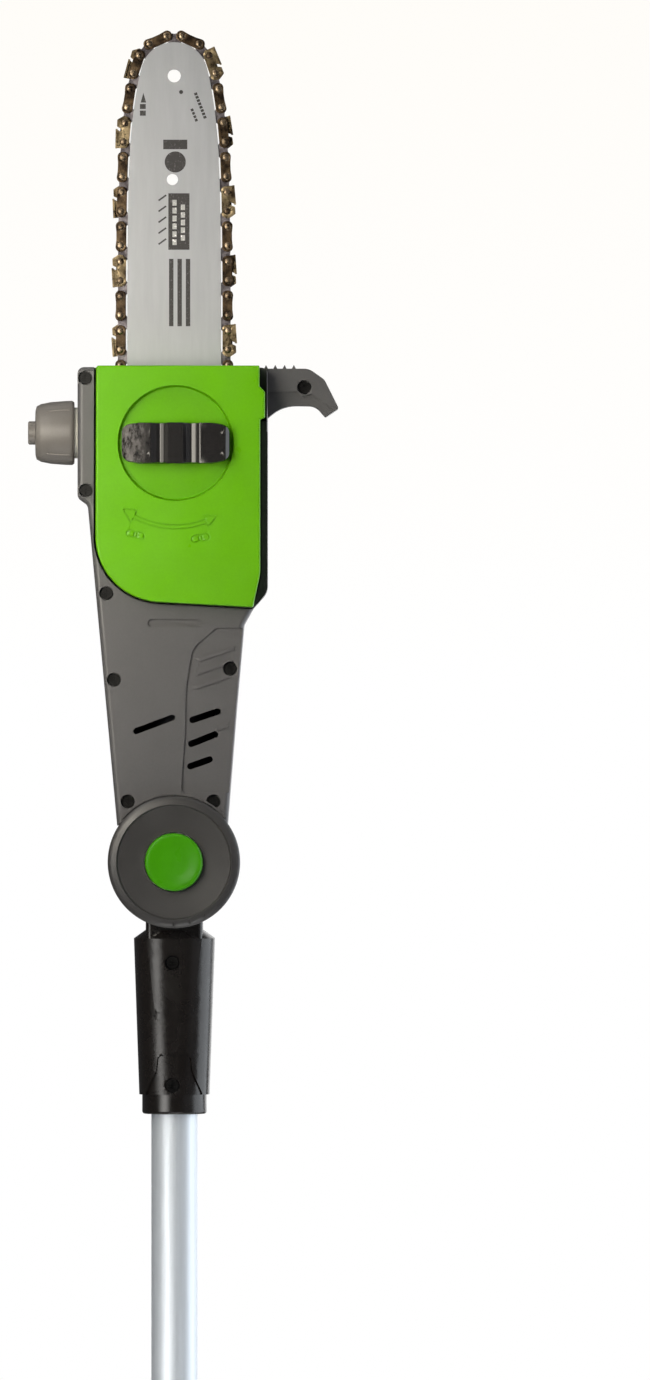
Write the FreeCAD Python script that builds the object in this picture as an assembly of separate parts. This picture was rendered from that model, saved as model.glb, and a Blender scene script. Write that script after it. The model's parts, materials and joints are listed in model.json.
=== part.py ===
import FreeCAD, Part
import math
import os

# Cordless telescoping pole saw, in millimetres.
# Frame: the origin is on the pole's axis at the middle of the rear grip, +Z runs up the pole to the
# guide bar, +X is the underside that the head folds towards, and -Y is the sprocket cover's side.
# Head and neck parts are drawn with the pivot pin at the origin, then lifted to PIVOT_Z.

# Pole
UPPER_TUBE_R = 12.7
LOWER_TUBE_R = 15.9
TUBE_WALL = 1.5
LOWER_TUBE_BOTTOM = 92.0
UPPER_TUBE_BOTTOM = 112.0
COLLAR_BOTTOM = 700.0
COLLAR_TOP = 745.0
COLLAR_R = 22.0
COLLAR_LUG_X = 27.0
PIVOT_Z = 1045.0
FRONT_GRIP = (390.0, 600.0)
STRAP_Z = 320.0
HANG_EYE_X = 27.5
HANG_EYE_R = 5.0

# Fits, as gaps on the radius
RUNNING = 0.05
SEATED = 0.02
LOOSE = 0.3

# Neck
HUB_R = 24.0
HUB_HALF = 20.0
NECK_TOP_WIDTH = 44.6
NECK_LOW_WIDTH = 38.7
SLEEVE_TOP = -42.2
SLEEVE_BOTTOM = -128.0
NECK_BOTTOM = -138.7
NECK_RING_R = 17.75
SOCKET_TOP = -60.0
TONGUE_BOTTOM = -83.3
NECK_SCREWS = ((-1.0, -55.4), (-1.0, -122.8))

# Head shells
WALL = 3.0
EDGE_ROUNDING = 3.0
HOUSING_FRONT_Y = -28.0
HOUSING_BACK_Y = 36.5
EAR_Y = 20.6
EAR_R = 35.0
PIVOT_DISC_R = 36.3
POCKET_FLOOR_Y = -10.6
BAY_FLOOR_Z = 33.0
TOP_Z = 271.4
HOOK_HALF = 13.0
SHAFT_Z = 184.0
MOTOR_Y = 11.0
MOTOR_R = 22.0
MOTOR_SPAN = (50.0, 120.0)
STUD = (1.0, 229.5)
STUD_R = 4.0
OIL_Z = 235.8
OIL_Y = 6.0
SHELL_SCREWS = (
    (-48.6, 265.4),
    (-48.2, 203.7),
    (-37.1, 147.3),
    (-32.9, 99.9),
    (-25.3, 33.2),
    (21.7, 33.2),
    (30.8, 106.0),
    (71.4, 260.6),
)
SCREW_RECESS_R = 3.9

# Button that unlocks the pivot
BUTTON_R = 15.8
LOCK_PIN_CIRCLE = 13.5
LOCK_PIN_R = 3.0
LOCK_STEP = 15.0

# Guide bar and chain
BAR_Y = -14.0
BAR_HALF = 1.85
BAR_NOSE_Z = 431.5
BAR_NOSE_R = 18.5
BAR_WIDTH_HALF = 25.8
BAR_NARROWING = 26.0
BAR_BLEND_ANGLE = 15.0
BAR_TAIL_Z = 206.0
BAR_STRAIGHT = 184.0
BAR_SHOULDER = 12.0
CHAIN_LEAVES = 194.0
GROOVE_DEPTH = 5.0
RIVET_LIFT = 3.8
SPROCKET_RIVET_R = 19.05
DRIVE_LINKS = 33
DRIVE_LINK_SHARE = 0.457
LINK_PLATE = 1.2
DRIVE_LINK_HALF = 0.65

# Bevel gears: teeth stand on cones that share one apex at (0, MOTOR_Y, SHAFT_Z)
GEAR_TEETH = 30
PINION_TEETH = 10
GEAR_MODULE = 1.6
TOOTH_FACE = 8.0

# Rear handle and battery
HANDLE_BOTTOM = -110.0
HANDLE_TOP = 172.0
GRIP_HALF_X = 18.0
GRIP_HALF_Y = 17.5
DOCK_HALF_X = 42.0
DOCK_HALF_Y = 35.0
HANDLE_WALL = 2.6
TRIGGER_PIN = (8.0, 66.0)
BATTERY_BOTTOM = -188.0


def at(x, y, z):
    return FreeCAD.Vector(x, y, z)


ORIGIN = at(0, 0, 0)
X_AXIS = at(1, 0, 0)
Y_AXIS = at(0, 1, 0)
Z_AXIS = at(0, 0, 1)


# ---------------------------------------------------------------- shape helpers

def block(x, y, z):
    """Box between pairs of x, y and z limits."""
    return Part.makeBox(x[1] - x[0], y[1] - y[0], z[1] - z[0], at(x[0], y[0], z[0]))


def rod(radius, start, end):
    """Round bar between two points."""
    return Part.makeCylinder(radius, (end - start).Length, start, end - start)


def rod_x(radius, y, z, x0, x1):
    return rod(radius, at(x0, y, z), at(x1, y, z))


def rod_y(radius, x, z, y0, y1):
    return rod(radius, at(x, y0, z), at(x, y1, z))


def rod_z(radius, z0, z1, x=0.0, y=0.0):
    return rod(radius, at(x, y, z0), at(x, y, z1))


def tube_z(outer, inner, z0, z1, x=0.0, y=0.0):
    return rod_z(outer, z0, z1, x, y).cut(rod_z(inner, z0 - 1, z1 + 1, x, y))


def tube_y(outer, inner, x, z, y0, y1):
    return rod_y(outer, x, z, y0, y1).cut(rod_y(inner, x, z, y0 - 1, y1 + 1))


def fuse(shapes):
    """One solid from several that touch."""
    return shapes[0].multiFuse(shapes[1:]).removeSplitter() if len(shapes) > 1 else shapes[0]


def lathe(profile):
    """Solid of revolution about Z from (radius, height) points."""
    points = [at(radius, 0, height) for radius, height in profile]
    face = Part.Face(Part.makePolygon(points + [points[0]]))
    return face.revolve(ORIGIN, Z_AXIS, 360)


def facing_front(shape, x, y, z):
    """Turns local +Z to -Y and puts the local origin at a point."""
    turned = shape.copy()
    turned.rotate(ORIGIN, X_AXIS, 90)
    turned.translate(at(x, y, z))
    return turned


def facing_left(shape, x, y, z):
    """Turns local +Z to -X and puts the local origin at a point."""
    turned = shape.copy()
    turned.rotate(ORIGIN, Y_AXIS, -90)
    turned.translate(at(x, y, z))
    return turned


def outline(corners):
    """Closed wire in the XZ plane from (x, z, radius) corners, rounded by tangent arcs."""
    points = [at(x, 0, z) for x, z, radius in corners]
    runs = []
    arcs = []
    for index, (x, z, radius) in enumerate(corners):
        corner = points[index]
        back = (points[index - 1] - corner).normalize()
        ahead = (points[(index + 1) % len(points)] - corner).normalize()
        half = back.getAngle(ahead) / 2
        reach = radius / math.tan(half)
        start = corner + back * reach
        end = corner + ahead * reach
        if radius > 0:
            middle = corner + (back + ahead).normalize() * (radius / math.sin(half) - radius)
            arcs.append(Part.Arc(start, middle, end).toShape())
        else:
            arcs.append(None)
        runs.append((start, end))
    edges = []
    for index, arc in enumerate(arcs):
        if arc is not None:
            edges.append(arc)
        line_start = runs[index][1]
        line_end = runs[(index + 1) % len(runs)][0]
        if (line_end - line_start).Length > 1e-6:
            edges.append(Part.LineSegment(line_start, line_end).toShape())
    return Part.Wire(edges)


def slab(wire, y0, y1):
    """Plate of a wire's outline between two depths."""
    plate = Part.Face(wire).extrude(at(0, y1 - y0, 0))
    plate.translate(at(0, y0, 0))
    return plate


def slot(x0, z0, x1, z1, width, y0, y1):
    """Round-ended slot between two points of the front view."""
    run = at(x1 - x0, 0, z1 - z0)
    side = at(-run.z, 0, run.x).normalize() * (width / 2)
    start = at(x0, y0, z0)
    end = start + run
    bar = Part.makePolygon([start + side, start - side, end - side, end + side, start + side])
    shape = Part.Face(bar).extrude(at(0, y1 - y0, 0))
    ends = [rod_y(width / 2, x0, z0, y0, y1), rod_y(width / 2, x1, z1, y0, y1)]
    return fuse([shape] + ends)


def rounded_section(width, depth, radius, z):
    """Rounded rectangle in a horizontal plane, for lofts."""
    corners = [
        (-width / 2, -depth / 2, radius),
        (width / 2, -depth / 2, radius),
        (width / 2, depth / 2, radius),
        (-width / 2, depth / 2, radius),
    ]
    wire = outline(corners)
    wire.rotate(ORIGIN, X_AXIS, 90)
    wire.translate(at(0, 0, z))
    return wire


def soften(shape, radius, keep):
    """Rounds the edges that a test picks."""
    edges = [edge for edge in shape.Edges if keep(edge)]
    return shape.makeFillet(radius, edges) if edges else shape


def edges_at_y(y):
    """Test for edges that lie wholly at one depth."""
    return lambda edge: abs(edge.BoundBox.YMin - y) < 0.01 and abs(edge.BoundBox.YMax - y) < 0.01


def edges_at_z(z):
    return lambda edge: abs(edge.BoundBox.ZMin - z) < 0.01 and abs(edge.BoundBox.ZMax - z) < 0.01


def save(name, *solids):
    """Writes one node, from solids drawn in the pole's frame."""
    shape = solids[0] if len(solids) == 1 else Part.makeCompound(list(solids))
    shape.exportStep("parts/" + name + ".step")
    print(name, len(shape.Solids), round(shape.Volume / 1000, 2), "cm3", shape.isValid())


def save_on_head(name, *solids):
    """Writes one node, from solids drawn about the pivot pin."""
    lifted = []
    for solid in solids:
        moved = solid.copy()
        moved.translate(at(0, 0, PIVOT_Z))
        lifted.append(moved)
    save(name, *lifted)


# ---------------------------------------------------------------- pole

def make_pole():
    save("lower_tube", tube_z(LOWER_TUBE_R, LOWER_TUBE_R - TUBE_WALL, LOWER_TUBE_BOTTOM, COLLAR_TOP - 3))
    upper = tube_z(UPPER_TUBE_R, UPPER_TUBE_R - TUBE_WALL, UPPER_TUBE_BOTTOM, PIVOT_Z + SOCKET_TOP)
    screw_z = PIVOT_Z + NECK_SCREWS[1][1]
    upper = upper.cut(rod_y(2.0, NECK_SCREWS[1][0], screw_z, -20, 20))
    save("upper_tube", upper)
    bush_r = LOWER_TUBE_R - TUBE_WALL - RUNNING
    bush = tube_z(bush_r, UPPER_TUBE_R + SEATED, UPPER_TUBE_BOTTOM, UPPER_TUBE_BOTTOM + 34)
    foot = tube_z(bush_r, UPPER_TUBE_R - TUBE_WALL, UPPER_TUBE_BOTTOM - 3, UPPER_TUBE_BOTTOM)
    save("guide_bush", fuse([bush, foot]))


def make_pole_cable():
    """Coiled lead inside the pole: its outer size, with the straight lead above and below."""
    straight_r = 3.0
    coil_r = 5.5
    beside_screws = 5.5
    parts = [
        rod_z(straight_r, 62, 124),
        rod_z(coil_r, 124, 620),
        rod_z(straight_r, 620, PIVOT_Z - 66, beside_screws),
    ]
    save("pole_cable", fuse(parts))


def make_lock_collar():
    body = rod_z(COLLAR_R, COLLAR_BOTTOM, COLLAR_TOP)
    body = body.makeChamfer(1.5, [edge for edge in body.Edges if edges_at_z(COLLAR_TOP)(edge)])
    lug_z = (COLLAR_BOTTOM + 6, COLLAR_TOP - 6)
    lug = block((14, COLLAR_LUG_X), (-6.5, 6.5), lug_z)
    lug = fuse([lug, rod_z(6.5, lug_z[0], lug_z[1], COLLAR_LUG_X)])
    body = fuse([body, lug])
    body = body.cut(rod_z(LOWER_TUBE_R + SEATED, COLLAR_BOTTOM - 1, COLLAR_TOP - 3))
    body = body.cut(rod_z(UPPER_TUBE_R + RUNNING, COLLAR_TOP - 4, COLLAR_TOP + 1))
    lever_gap = block((10, 40), (-9, 9), (COLLAR_BOTTOM + 12, COLLAR_TOP - 12))
    body = body.cut(lever_gap.cut(rod_z(COLLAR_R, COLLAR_BOTTOM, COLLAR_TOP)))
    body = body.cut(block((10, COLLAR_R + 1), (-0.9, 0.9), (COLLAR_BOTTOM - 1, COLLAR_TOP - 3.5)))
    body = body.cut(rod_z(2.5, COLLAR_BOTTOM, COLLAR_TOP, COLLAR_LUG_X))
    save("lock_collar", body)
    bush_r = LOWER_TUBE_R - TUBE_WALL - SEATED
    bush = tube_z(bush_r, UPPER_TUBE_R + RUNNING, COLLAR_BOTTOM - 8, COLLAR_TOP - 3)
    save("collar_bush", bush)
    pin = rod_z(2.45, lug_z[0] - 1.5, lug_z[1] + 1.5, COLLAR_LUG_X)
    heads = [rod_z(4.2, foot, foot + 3, COLLAR_LUG_X) for foot in (lug_z[0] - 3, lug_z[1])]
    save("clamp_bolt", fuse([pin] + heads))


def make_clamp_lever():
    """Cam on the clamp bolt, with a blade that wraps round the collar's front when it is shut."""
    low = COLLAR_BOTTOM + 12.4
    high = COLLAR_TOP - 12.4
    inner_r = COLLAR_R + 0.8
    cam = rod_z(4.7, low, high, COLLAR_LUG_X)
    blade = tube_z(inner_r + 4.0, inner_r, low, high)
    blade = blade.cut(block((-60, 60), (0, 60), (low - 1, high + 1)))
    blade = blade.cut(block((-60, -12), (-60, 60), (low - 1, high + 1)))
    root = block((inner_r + 0.4, COLLAR_LUG_X + 3), (-5.5, 0), (low, high))
    tip = rod_z(3.2, low, high, -12, -(inner_r + 2.2) * 0.93)
    lever = fuse([cam, blade, root, tip])
    lever = lever.cut(rod_z(2.45 + RUNNING, low - 1, high + 1, COLLAR_LUG_X))
    lever = lever.cut(rod_z(COLLAR_R + 0.5, low - 1, high + 1))
    save("clamp_lever", lever)


def make_front_grip():
    low, high = FRONT_GRIP
    inner = LOWER_TUBE_R + SEATED
    profile = [(inner, low), (20.5, low), (21.5, low + 2), (21.5, low + 8), (19.5, low + 11)]
    profile += [(19.5, high - 11), (21.5, high - 8), (21.5, high - 2), (20.5, high), (inner, high)]
    save("front_grip", lathe(profile))


def make_strap_clamp():
    ring = tube_z(LOWER_TUBE_R + 4, LOWER_TUBE_R + SEATED, STRAP_Z - 9, STRAP_Z + 9)
    lug = block((-34, -LOWER_TUBE_R - 1), (-5, 5), (STRAP_Z - 7, STRAP_Z + 7))
    lug = soften(lug, 3, lambda edge: edge.BoundBox.XMax < -33 and edge.BoundBox.YLength > 9)
    eye = fuse([block((LOWER_TUBE_R + 1, HANG_EYE_X), (-5, 5), (STRAP_Z - 8, STRAP_Z + 8)),
                rod_y(8, HANG_EYE_X, STRAP_Z, -5, 5)])
    clamp = fuse([ring, lug, eye]).cut(rod_z(LOWER_TUBE_R + SEATED, STRAP_Z - 20, STRAP_Z + 20))
    clamp = clamp.cut(rod_y(HANG_EYE_R, HANG_EYE_X, STRAP_Z, -10, 10))
    clamp = clamp.cut(rod_y(2.6, -28, STRAP_Z, -10, 10))
    save("strap_clamp", clamp)
    # D-shaped ring: a pin through the lug, two legs and a half-round bow, hanging down
    wire_r = 2.3
    half = 12.0
    drop = 16.0
    pin = rod_y(wire_r, -28, STRAP_Z, -half, half)
    corners = [at(-28, side * half, STRAP_Z) for side in (-1, 1)]
    legs = [rod(wire_r, corner, corner - at(0, 0, drop)) for corner in corners]
    joints = [Part.makeSphere(wire_r, corner) for corner in corners]
    bow = Part.makeTorus(half, wire_r, at(-28, 0, STRAP_Z - drop), X_AXIS)
    bow = bow.common(block((-40, -20), (-20, 20), (STRAP_Z - drop - 20, STRAP_Z - drop)))
    save("strap_ring", fuse([pin] + legs + joints + [bow]))


# ---------------------------------------------------------------- rear handle

def grip_body(grow):
    """Handle's outer form, or with a negative grow the space inside it."""
    half_x = GRIP_HALF_X + grow
    half_y = GRIP_HALF_Y + grow
    grip = slab(outline([
        (-half_x - 2, HANDLE_TOP + grow, 3),
        (half_x + 2, HANDLE_TOP + grow, 3),
        (half_x + 2, 104, 8),
        (half_x, 92, 8),
        (half_x - 0.5, 20, 90),
        (half_x, -52, 14),
        (half_x + 6, -66, 12),
        (half_x + 6, -90, 0),
        (-half_x - 6, -90, 0),
        (-half_x - 6, -66, 12),
        (-half_x, -52, 14),
        (-half_x + 0.5, 20, 90),
        (-half_x, 92, 8),
        (-half_x - 2, 104, 8),
    ]), -half_y - 2, half_y + 2)
    dock = slab(outline([
        (-DOCK_HALF_X - grow, HANDLE_BOTTOM - grow, 3),
        (DOCK_HALF_X + grow, HANDLE_BOTTOM - grow, 3),
        (DOCK_HALF_X + grow, -84 + grow, 10),
        (26 + grow, -66 + grow, 10),
        (-26 - grow, -66 + grow, 10),
        (-DOCK_HALF_X - grow, -84 + grow, 10),
    ]), -DOCK_HALF_Y - grow, DOCK_HALF_Y + grow)
    return grip, dock


def handle_solid():
    grip, dock = grip_body(0)
    grip = soften(grip, 9, edges_at_y(-GRIP_HALF_Y - 2))
    grip = soften(grip, 9, edges_at_y(GRIP_HALF_Y + 2))
    dock = soften(dock, 4, edges_at_y(-DOCK_HALF_Y))
    dock = soften(dock, 4, edges_at_y(DOCK_HALF_Y))
    return fuse([grip, dock])


def make_rear_handle():
    outer = handle_solid()
    grip, dock = grip_body(-HANDLE_WALL)
    bay = fuse([grip, dock]).cut(block((-60, 60), (-60, 60), (100, 200)))
    mouth = block((-30, 30), (-24, 24), (HANDLE_BOTTOM - 5, HANDLE_BOTTOM + 12))
    shell = outer.cut(bay).cut(mouth)
    deck = block((-60, 60), (-60, 60), (-90, -87)).common(outer)
    shell = fuse([shell, deck]).cut(block((-16, 16), (-14, 14), (-91, -86)))
    shell = shell.cut(rod_z(LOWER_TUBE_R + SEATED, LOWER_TUBE_BOTTOM, HANDLE_TOP + 5))
    shell = shell.cut(rod_z(6, 80, LOWER_TUBE_BOTTOM + 1))
    shell = shell.cut(block((5, 30), (-6.5, 6.5), (16, 72)))
    shell = shell.cut(block((-30, -5), (-5.5, 5.5), (67.5, 84.5)))
    shell = shell.cut(rod_y(3.05, TRIGGER_PIN[0], TRIGGER_PIN[1], -14, 14))
    screws = []
    for x, z in ((-9, 2), (-9, -44), (-34, -98), (34, -98)):
        face = DOCK_HALF_Y if abs(x) > 20 else GRIP_HALF_Y + 2
        post = rod_y(4.2, x, z, -face + 1, face - 1)
        shell = fuse([shell, post.common(outer)])
        shell = shell.cut(rod_y(3.6, x, z, -face - 1, -face + 4))
        shell = shell.cut(rod_y(1.55, x, z, -face + 2, face - 6))
        screws.append(handle_screw(x, z, -face + 4, face - 7))
    save("rear_handle_left", shell.common(block((-60, 60), (-60, 0), (-200, 300))))
    save("rear_handle_right", shell.common(block((-60, 60), (0, 60), (-200, 300))))
    save("handle_screws", *screws)
    save("trigger_pin", rod_y(3.0, TRIGGER_PIN[0], TRIGGER_PIN[1], -13.5, 13.5))
    make_soft_grip()


def handle_screw(x, z, y_head, y_tip):
    """Round-headed screw with a cross recess."""
    screw = fuse([rod_y(3.2, x, z, y_head - 2.2, y_head), rod_y(1.5, x, z, y_head, y_tip)])
    cross = [block((x - 2, x + 2), (y_head - 3, y_head - 1.2), (z - 0.4, z + 0.4))]
    cross.append(block((x - 0.4, x + 0.4), (y_head - 3, y_head - 1.2), (z - 2, z + 2)))
    return screw.cut(fuse(cross))


def make_soft_grip():
    """Rubber sleeve moulded round the grip below the trigger."""
    thick = 1.8
    band = block((-40, 40), (-40, 40), (-48, 12))
    half_x = GRIP_HALF_X + thick
    half_y = GRIP_HALF_Y + 2 + thick
    sleeve = Part.makeLoft([
        rounded_section(2 * half_x + 1, 2 * half_y, 10.5, -48),
        rounded_section(2 * half_x, 2 * half_y, 10.5, -18),
        rounded_section(2 * half_x - 1, 2 * half_y, 10.5, 12),
    ], True)
    save("handle_soft_grip", sleeve.common(band).cut(handle_solid()))


def make_controls():
    pin_x, pin_z = TRIGGER_PIN
    blade = slab(outline([
        (pin_x - 4, pin_z + 5, 3),
        (pin_x + 6, pin_z + 5, 3),
        (26.5, 52, 8),
        (24.5, 36, 12),
        (28, 21, 3),
        (16, 19, 3),
        (12, 40, 6),
        (pin_x - 4, 58, 3),
    ]), -5.8, 5.8)
    blade = soften(blade, 2, edges_at_y(-5.8))
    blade = soften(blade, 2, edges_at_y(5.8))
    save("trigger", blade.cut(rod_y(3.0 + RUNNING, pin_x, pin_z, -10, 10)))
    button = block((-22.5, -14), (-4.8, 4.8), (68.5, 83.5))
    button = soften(button, 1.6, lambda edge: edge.BoundBox.XMax < -22)
    flange = block((-15.1, -13.1), (-6.8, 6.8), (66, 86))
    save("lock_off_button", fuse([button, flange]))
    switch = block((-8, 5), (-6, 6), (26, 48))
    switch = soften(switch, 0.8, lambda edge: edge.BoundBox.YLength > 10)
    plunger = block((5, 8), (-2, 2), (34, 38))
    save("power_switch", fuse([switch, plunger]).cut(rod_y(1.6, -1.5, 44, -10, 10)))
    blades = []
    for x in (-11, -4, 4, 11):
        blades.append(block((x - 0.4, x + 0.4), (-3.5, 3.5), (-104, -86)))
    plate = block((-19, 19), (-17, 17), (-87, -84))
    save("battery_terminals", fuse([plate] + blades))


def make_battery():
    half_x = 38.0
    half_y = 32.0
    body = slab(outline([
        (-half_x, BATTERY_BOTTOM + 12, 0),
        (half_x, BATTERY_BOTTOM + 12, 0),
        (half_x, HANDLE_BOTTOM - 0.6, 2),
        (-half_x, HANDLE_BOTTOM - 0.6, 2),
    ]), -half_y, half_y)
    body = soften(body, 7, lambda edge: edge.BoundBox.ZLength > 50 and edge.BoundBox.XLength < 1)
    stem = block((-28, 28), (-22, 22), (HANDLE_BOTTOM - 2, HANDLE_BOTTOM + 10))
    stem = soften(stem, 3, lambda edge: edge.BoundBox.ZLength > 9)
    case = fuse([body, stem])
    cavity_z = (BATTERY_BOTTOM + 5, HANDLE_BOTTOM - 4)
    cavity = block((-half_x + 3, half_x - 3), (-half_y + 3, half_y - 3), cavity_z)
    case = case.cut(cavity)
    for x in (-11, -4, 4, 11):
        case = case.cut(block((x - 1.2, x + 1.2), (-4.5, 4.5), (HANDLE_BOTTOM - 3, HANDLE_BOTTOM + 11)))
    case = case.cut(block((31.5, half_x + 1), (-11, 11), (-132, -108)))
    save("battery_case", case)
    base = slab(outline([
        (-half_x, BATTERY_BOTTOM, 6),
        (half_x, BATTERY_BOTTOM, 6),
        (half_x, BATTERY_BOTTOM + 11.9, 0),
        (-half_x, BATTERY_BOTTOM + 11.9, 0),
    ]), -half_y, half_y)
    base = soften(base, 6.5, lambda edge: edge.BoundBox.ZLength > 4 and edge.BoundBox.YLength < 0.1)
    base = base.cut(block((-half_x + 3, half_x - 3), (-half_y + 3, half_y - 3), (BATTERY_BOTTOM + 3, -150)))
    save("battery_base", base)
    cells = []
    for x in (-19.5, 0.0, 19.5):
        for y in (-9.4, 9.4):
            can = fuse([rod_z(9.1, -184, -120, x - 3, y), rod_z(3, -120, -118.5, x - 3, y)])
            cells.append(can)
    save("battery_cells", *cells)
    latch = block((33, half_x + 1.6), (-10.4, 10.4), (-131.4, -114))
    latch = soften(latch, 1.2, lambda edge: edge.BoundBox.XMin > half_x + 1)
    for z in (-128, -124, -120):
        latch = latch.cut(block((half_x + 0.8, half_x + 3), (-8, 8), (z - 0.8, z + 0.8)))
    hook = block((33, 36), (-8, 8), (-114.5, -111.5))
    save("battery_latch", fuse([latch, hook]))


# ---------------------------------------------------------------- neck

def neck_sleeve(grow):
    """Tapered sleeve with a nearly round section, larger all round by grow."""
    return Part.makeLoft([
        rounded_section(NECK_TOP_WIDTH + 2 * grow, 39 + 2 * grow, 18 + grow, SLEEVE_TOP),
        rounded_section(NECK_LOW_WIDTH + 2 * grow, 37 + 2 * grow, 17.5 + grow, SLEEVE_BOTTOM),
    ], True)


def neck_tongue(bottom, grow):
    """Raised tongue that runs down from the core onto the sleeve's front."""
    face = outline([
        (-15.3, -40, 0), (15.3, -40, 0), (15.1, -44, 3),
        (10.3, bottom, 3), (-10.3, bottom, 3), (-15.1, -44, 3),
    ])
    return neck_sleeve(grow).common(slab(face, -25, -8))


def make_neck():
    hub = rod_y(HUB_R, 0, 0, -HUB_HALF, HUB_HALF)
    core = block((-15.65, 15.65), (-17, 17), (SLEEVE_TOP - 4, -10))
    core = soften(core, 3, lambda edge: edge.BoundBox.ZLength > 20)
    crown = Part.makeLoft([
        rounded_section(32, 35, 12, SLEEVE_TOP + 4.5),
        rounded_section(NECK_TOP_WIDTH, 39, 18, SLEEVE_TOP),
    ], True)
    ring = rod_z(NECK_RING_R, NECK_BOTTOM, SLEEVE_BOTTOM + 1)
    ring = soften(ring, 1.5, edges_at_z(NECK_BOTTOM))
    sleeve = fuse([neck_sleeve(0), neck_tongue(TONGUE_BOTTOM, 1.1), neck_tongue(TONGUE_BOTTOM - 3.3, 0.5)])
    keystone = slab(outline([
        (-9, -106, 3), (9, -106, 3), (10, -115, 6), (15.4, -127, 0), (15.4, -129, 0), (-15.4, -129, 0),
        (-15.4, -127, 0), (-10, -115, 6),
    ]), -25, -8)
    sleeve = sleeve.cut(keystone.cut(neck_sleeve(-0.9)))
    neck = fuse([hub, core, sleeve, crown, ring])
    neck = neck.cut(rod_z(UPPER_TUBE_R + SEATED, NECK_BOTTOM - 1, SOCKET_TOP))
    neck = neck.cut(rod_z(7, SOCKET_TOP - 1, -28))
    neck = neck.cut(rod_y(5 + RUNNING, 0, 0, -30, 30))
    neck = neck.cut(rod_y(20, 0, 0, -HUB_HALF - 1, -15))
    neck = neck.cut(rod_y(18, 0, 0, -16, -9.5))
    index_mark = slab(outline([(-1.9, -48, 0), (1.9, -48, 0), (0, -44.4, 0)]), -25, -20.2)
    neck = neck.cut(index_mark)
    screws = []
    for x, z in NECK_SCREWS:
        neck = neck.cut(rod_y(4.2, x, z, -25, -16))
        neck = neck.cut(rod_y(1.65, x, z, -17, 13))
        screws.append(handle_screw(x, z, -16, 12))
    save_on_head("neck_front", neck.common(block((-60, 60), (-60, 0), (-200, 60))))
    save_on_head("neck_rear", neck.common(block((-60, 60), (0, 60), (-200, 60))))
    save_on_head("neck_screws", *screws)
    make_detent_ring()


def make_detent_ring():
    """Steel ring in the neck's hub, with three arc slots that widen at each of the lock's stops."""
    ring = rod_z(20 - RUNNING, 0, 5).cut(rod_z(7, -1, 6))
    for spoke in range(3):
        first = 90 + 120 * spoke
        last = first - 2 * LOCK_STEP
        sweep = Part.makeCylinder(LOCK_PIN_CIRCLE + LOCK_PIN_R + 0.2, 7, at(0, 0, -1), Z_AXIS, first - last)
        sweep = sweep.cut(rod_z(LOCK_PIN_CIRCLE - LOCK_PIN_R - 0.2, -2, 8))
        sweep.rotate(ORIGIN, Z_AXIS, last)
        ring = ring.cut(sweep)
        for stop in range(3):
            angle = math.radians(last + LOCK_STEP * stop)
            x = LOCK_PIN_CIRCLE * math.cos(angle)
            y = LOCK_PIN_CIRCLE * math.sin(angle)
            ring = ring.cut(rod_z(LOCK_PIN_R + 0.6, -1, 6, x, y))
    save_on_head("detent_ring", facing_front(ring, 0, -15.0, 0))


# ---------------------------------------------------------------- head shells

def housing_outline():
    return outline([
        (-52.9, TOP_Z, 3.6),
        (51.3, TOP_Z, 3.6),
        (51.3, 148, 9),
        (43.5, 139.2, 4),
        (38.4, 130, 4),
        (34.4, 84.6, 80),
        (29.3, 20, 0),
        (-31.2, 20, 0),
        (-47.3, 195.5, 4),
        (-52.9, 199.5, 4),
    ])


def cover_outline():
    return outline([
        (-42.5, 272, 1.5),
        (46.9, 272, 0.5),
        (46.9, 260.6, 0.5),
        (49.9, 257.5, 0.5),
        (49.9, 243.6, 0.6),
        (47.3, 242.4, 0.4),
        (47.3, 158, 24),
        (43.3, 139.6, 1.2),
        (-43, 144.4, 36),
    ])


def pocket_outline():
    """Where the front shell steps back for the cover, open at the top and on the underside."""
    return outline([
        (-43.8, 300, 0),
        (50.9, 300, 0),
        (50.9, 236, 0),
        (80, 236, 0),
        (80, 148, 0),
        (52, 147, 9),
        (44, 138.4, 2),
        (-44.2, 143.2, 37),
    ])


def hook_outline():
    """Branch hook: a beak beside the cover that curves back down to a blunt tip."""
    return outline([
        (49, 270.8, 0),
        (74, 270.8, 9),
        (82.5, 264.8, 6),
        (90.4, 249, 1.2),
        (83, 244.1, 1),
        (77.5, 250.4, 8),
        (60, 250.6, 20),
        (50.4, 243, 5),
        (49, 232, 0),
    ])


def hook_flank():
    """The hook's lower part, which is set back under a ledge and a slanted edge."""
    return outline([
        (40, 258.2, 0), (66.8, 258.2, 2), (70.5, 255.4, 1), (75.2, 257.2, 1),
        (87.4, 248.6, 1), (92, 244, 0), (84, 236, 0), (40, 225, 0),
    ])


def make_hook():
    hook = slab(hook_outline(), -HOOK_HALF, HOOK_HALF)
    hook = hook.cut(slab(hook_flank(), -HOOK_HALF - 1, -HOOK_HALF + 1.8))
    hook = hook.cut(slab(hook_flank(), HOOK_HALF - 1.8, HOOK_HALF + 1))
    for index in range(4):
        x = 50.4 + 5.1 * index
        tooth = outline([(x - 1.5, 270, 0), (x + 1.5, 270, 0), (x, 272.9, 0)])
        hook = hook.fuse(slab(tooth, -HOOK_HALF, HOOK_HALF))
    return hook


def shell_cavity():
    inner = housing_outline().makeOffset2D(-WALL)
    cavity = slab(inner, HOUSING_FRONT_Y + WALL, HOUSING_BACK_Y - WALL)
    cavity = cavity.common(block((-60, 60), (-60, 60), (BAY_FLOOR_Z, TOP_Z - WALL)))
    behind_pocket = slab(pocket_outline().makeOffset2D(2.5), HOUSING_FRONT_Y - 5, POCKET_FLOOR_Y + 2.5)
    return cavity.cut(behind_pocket)


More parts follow.
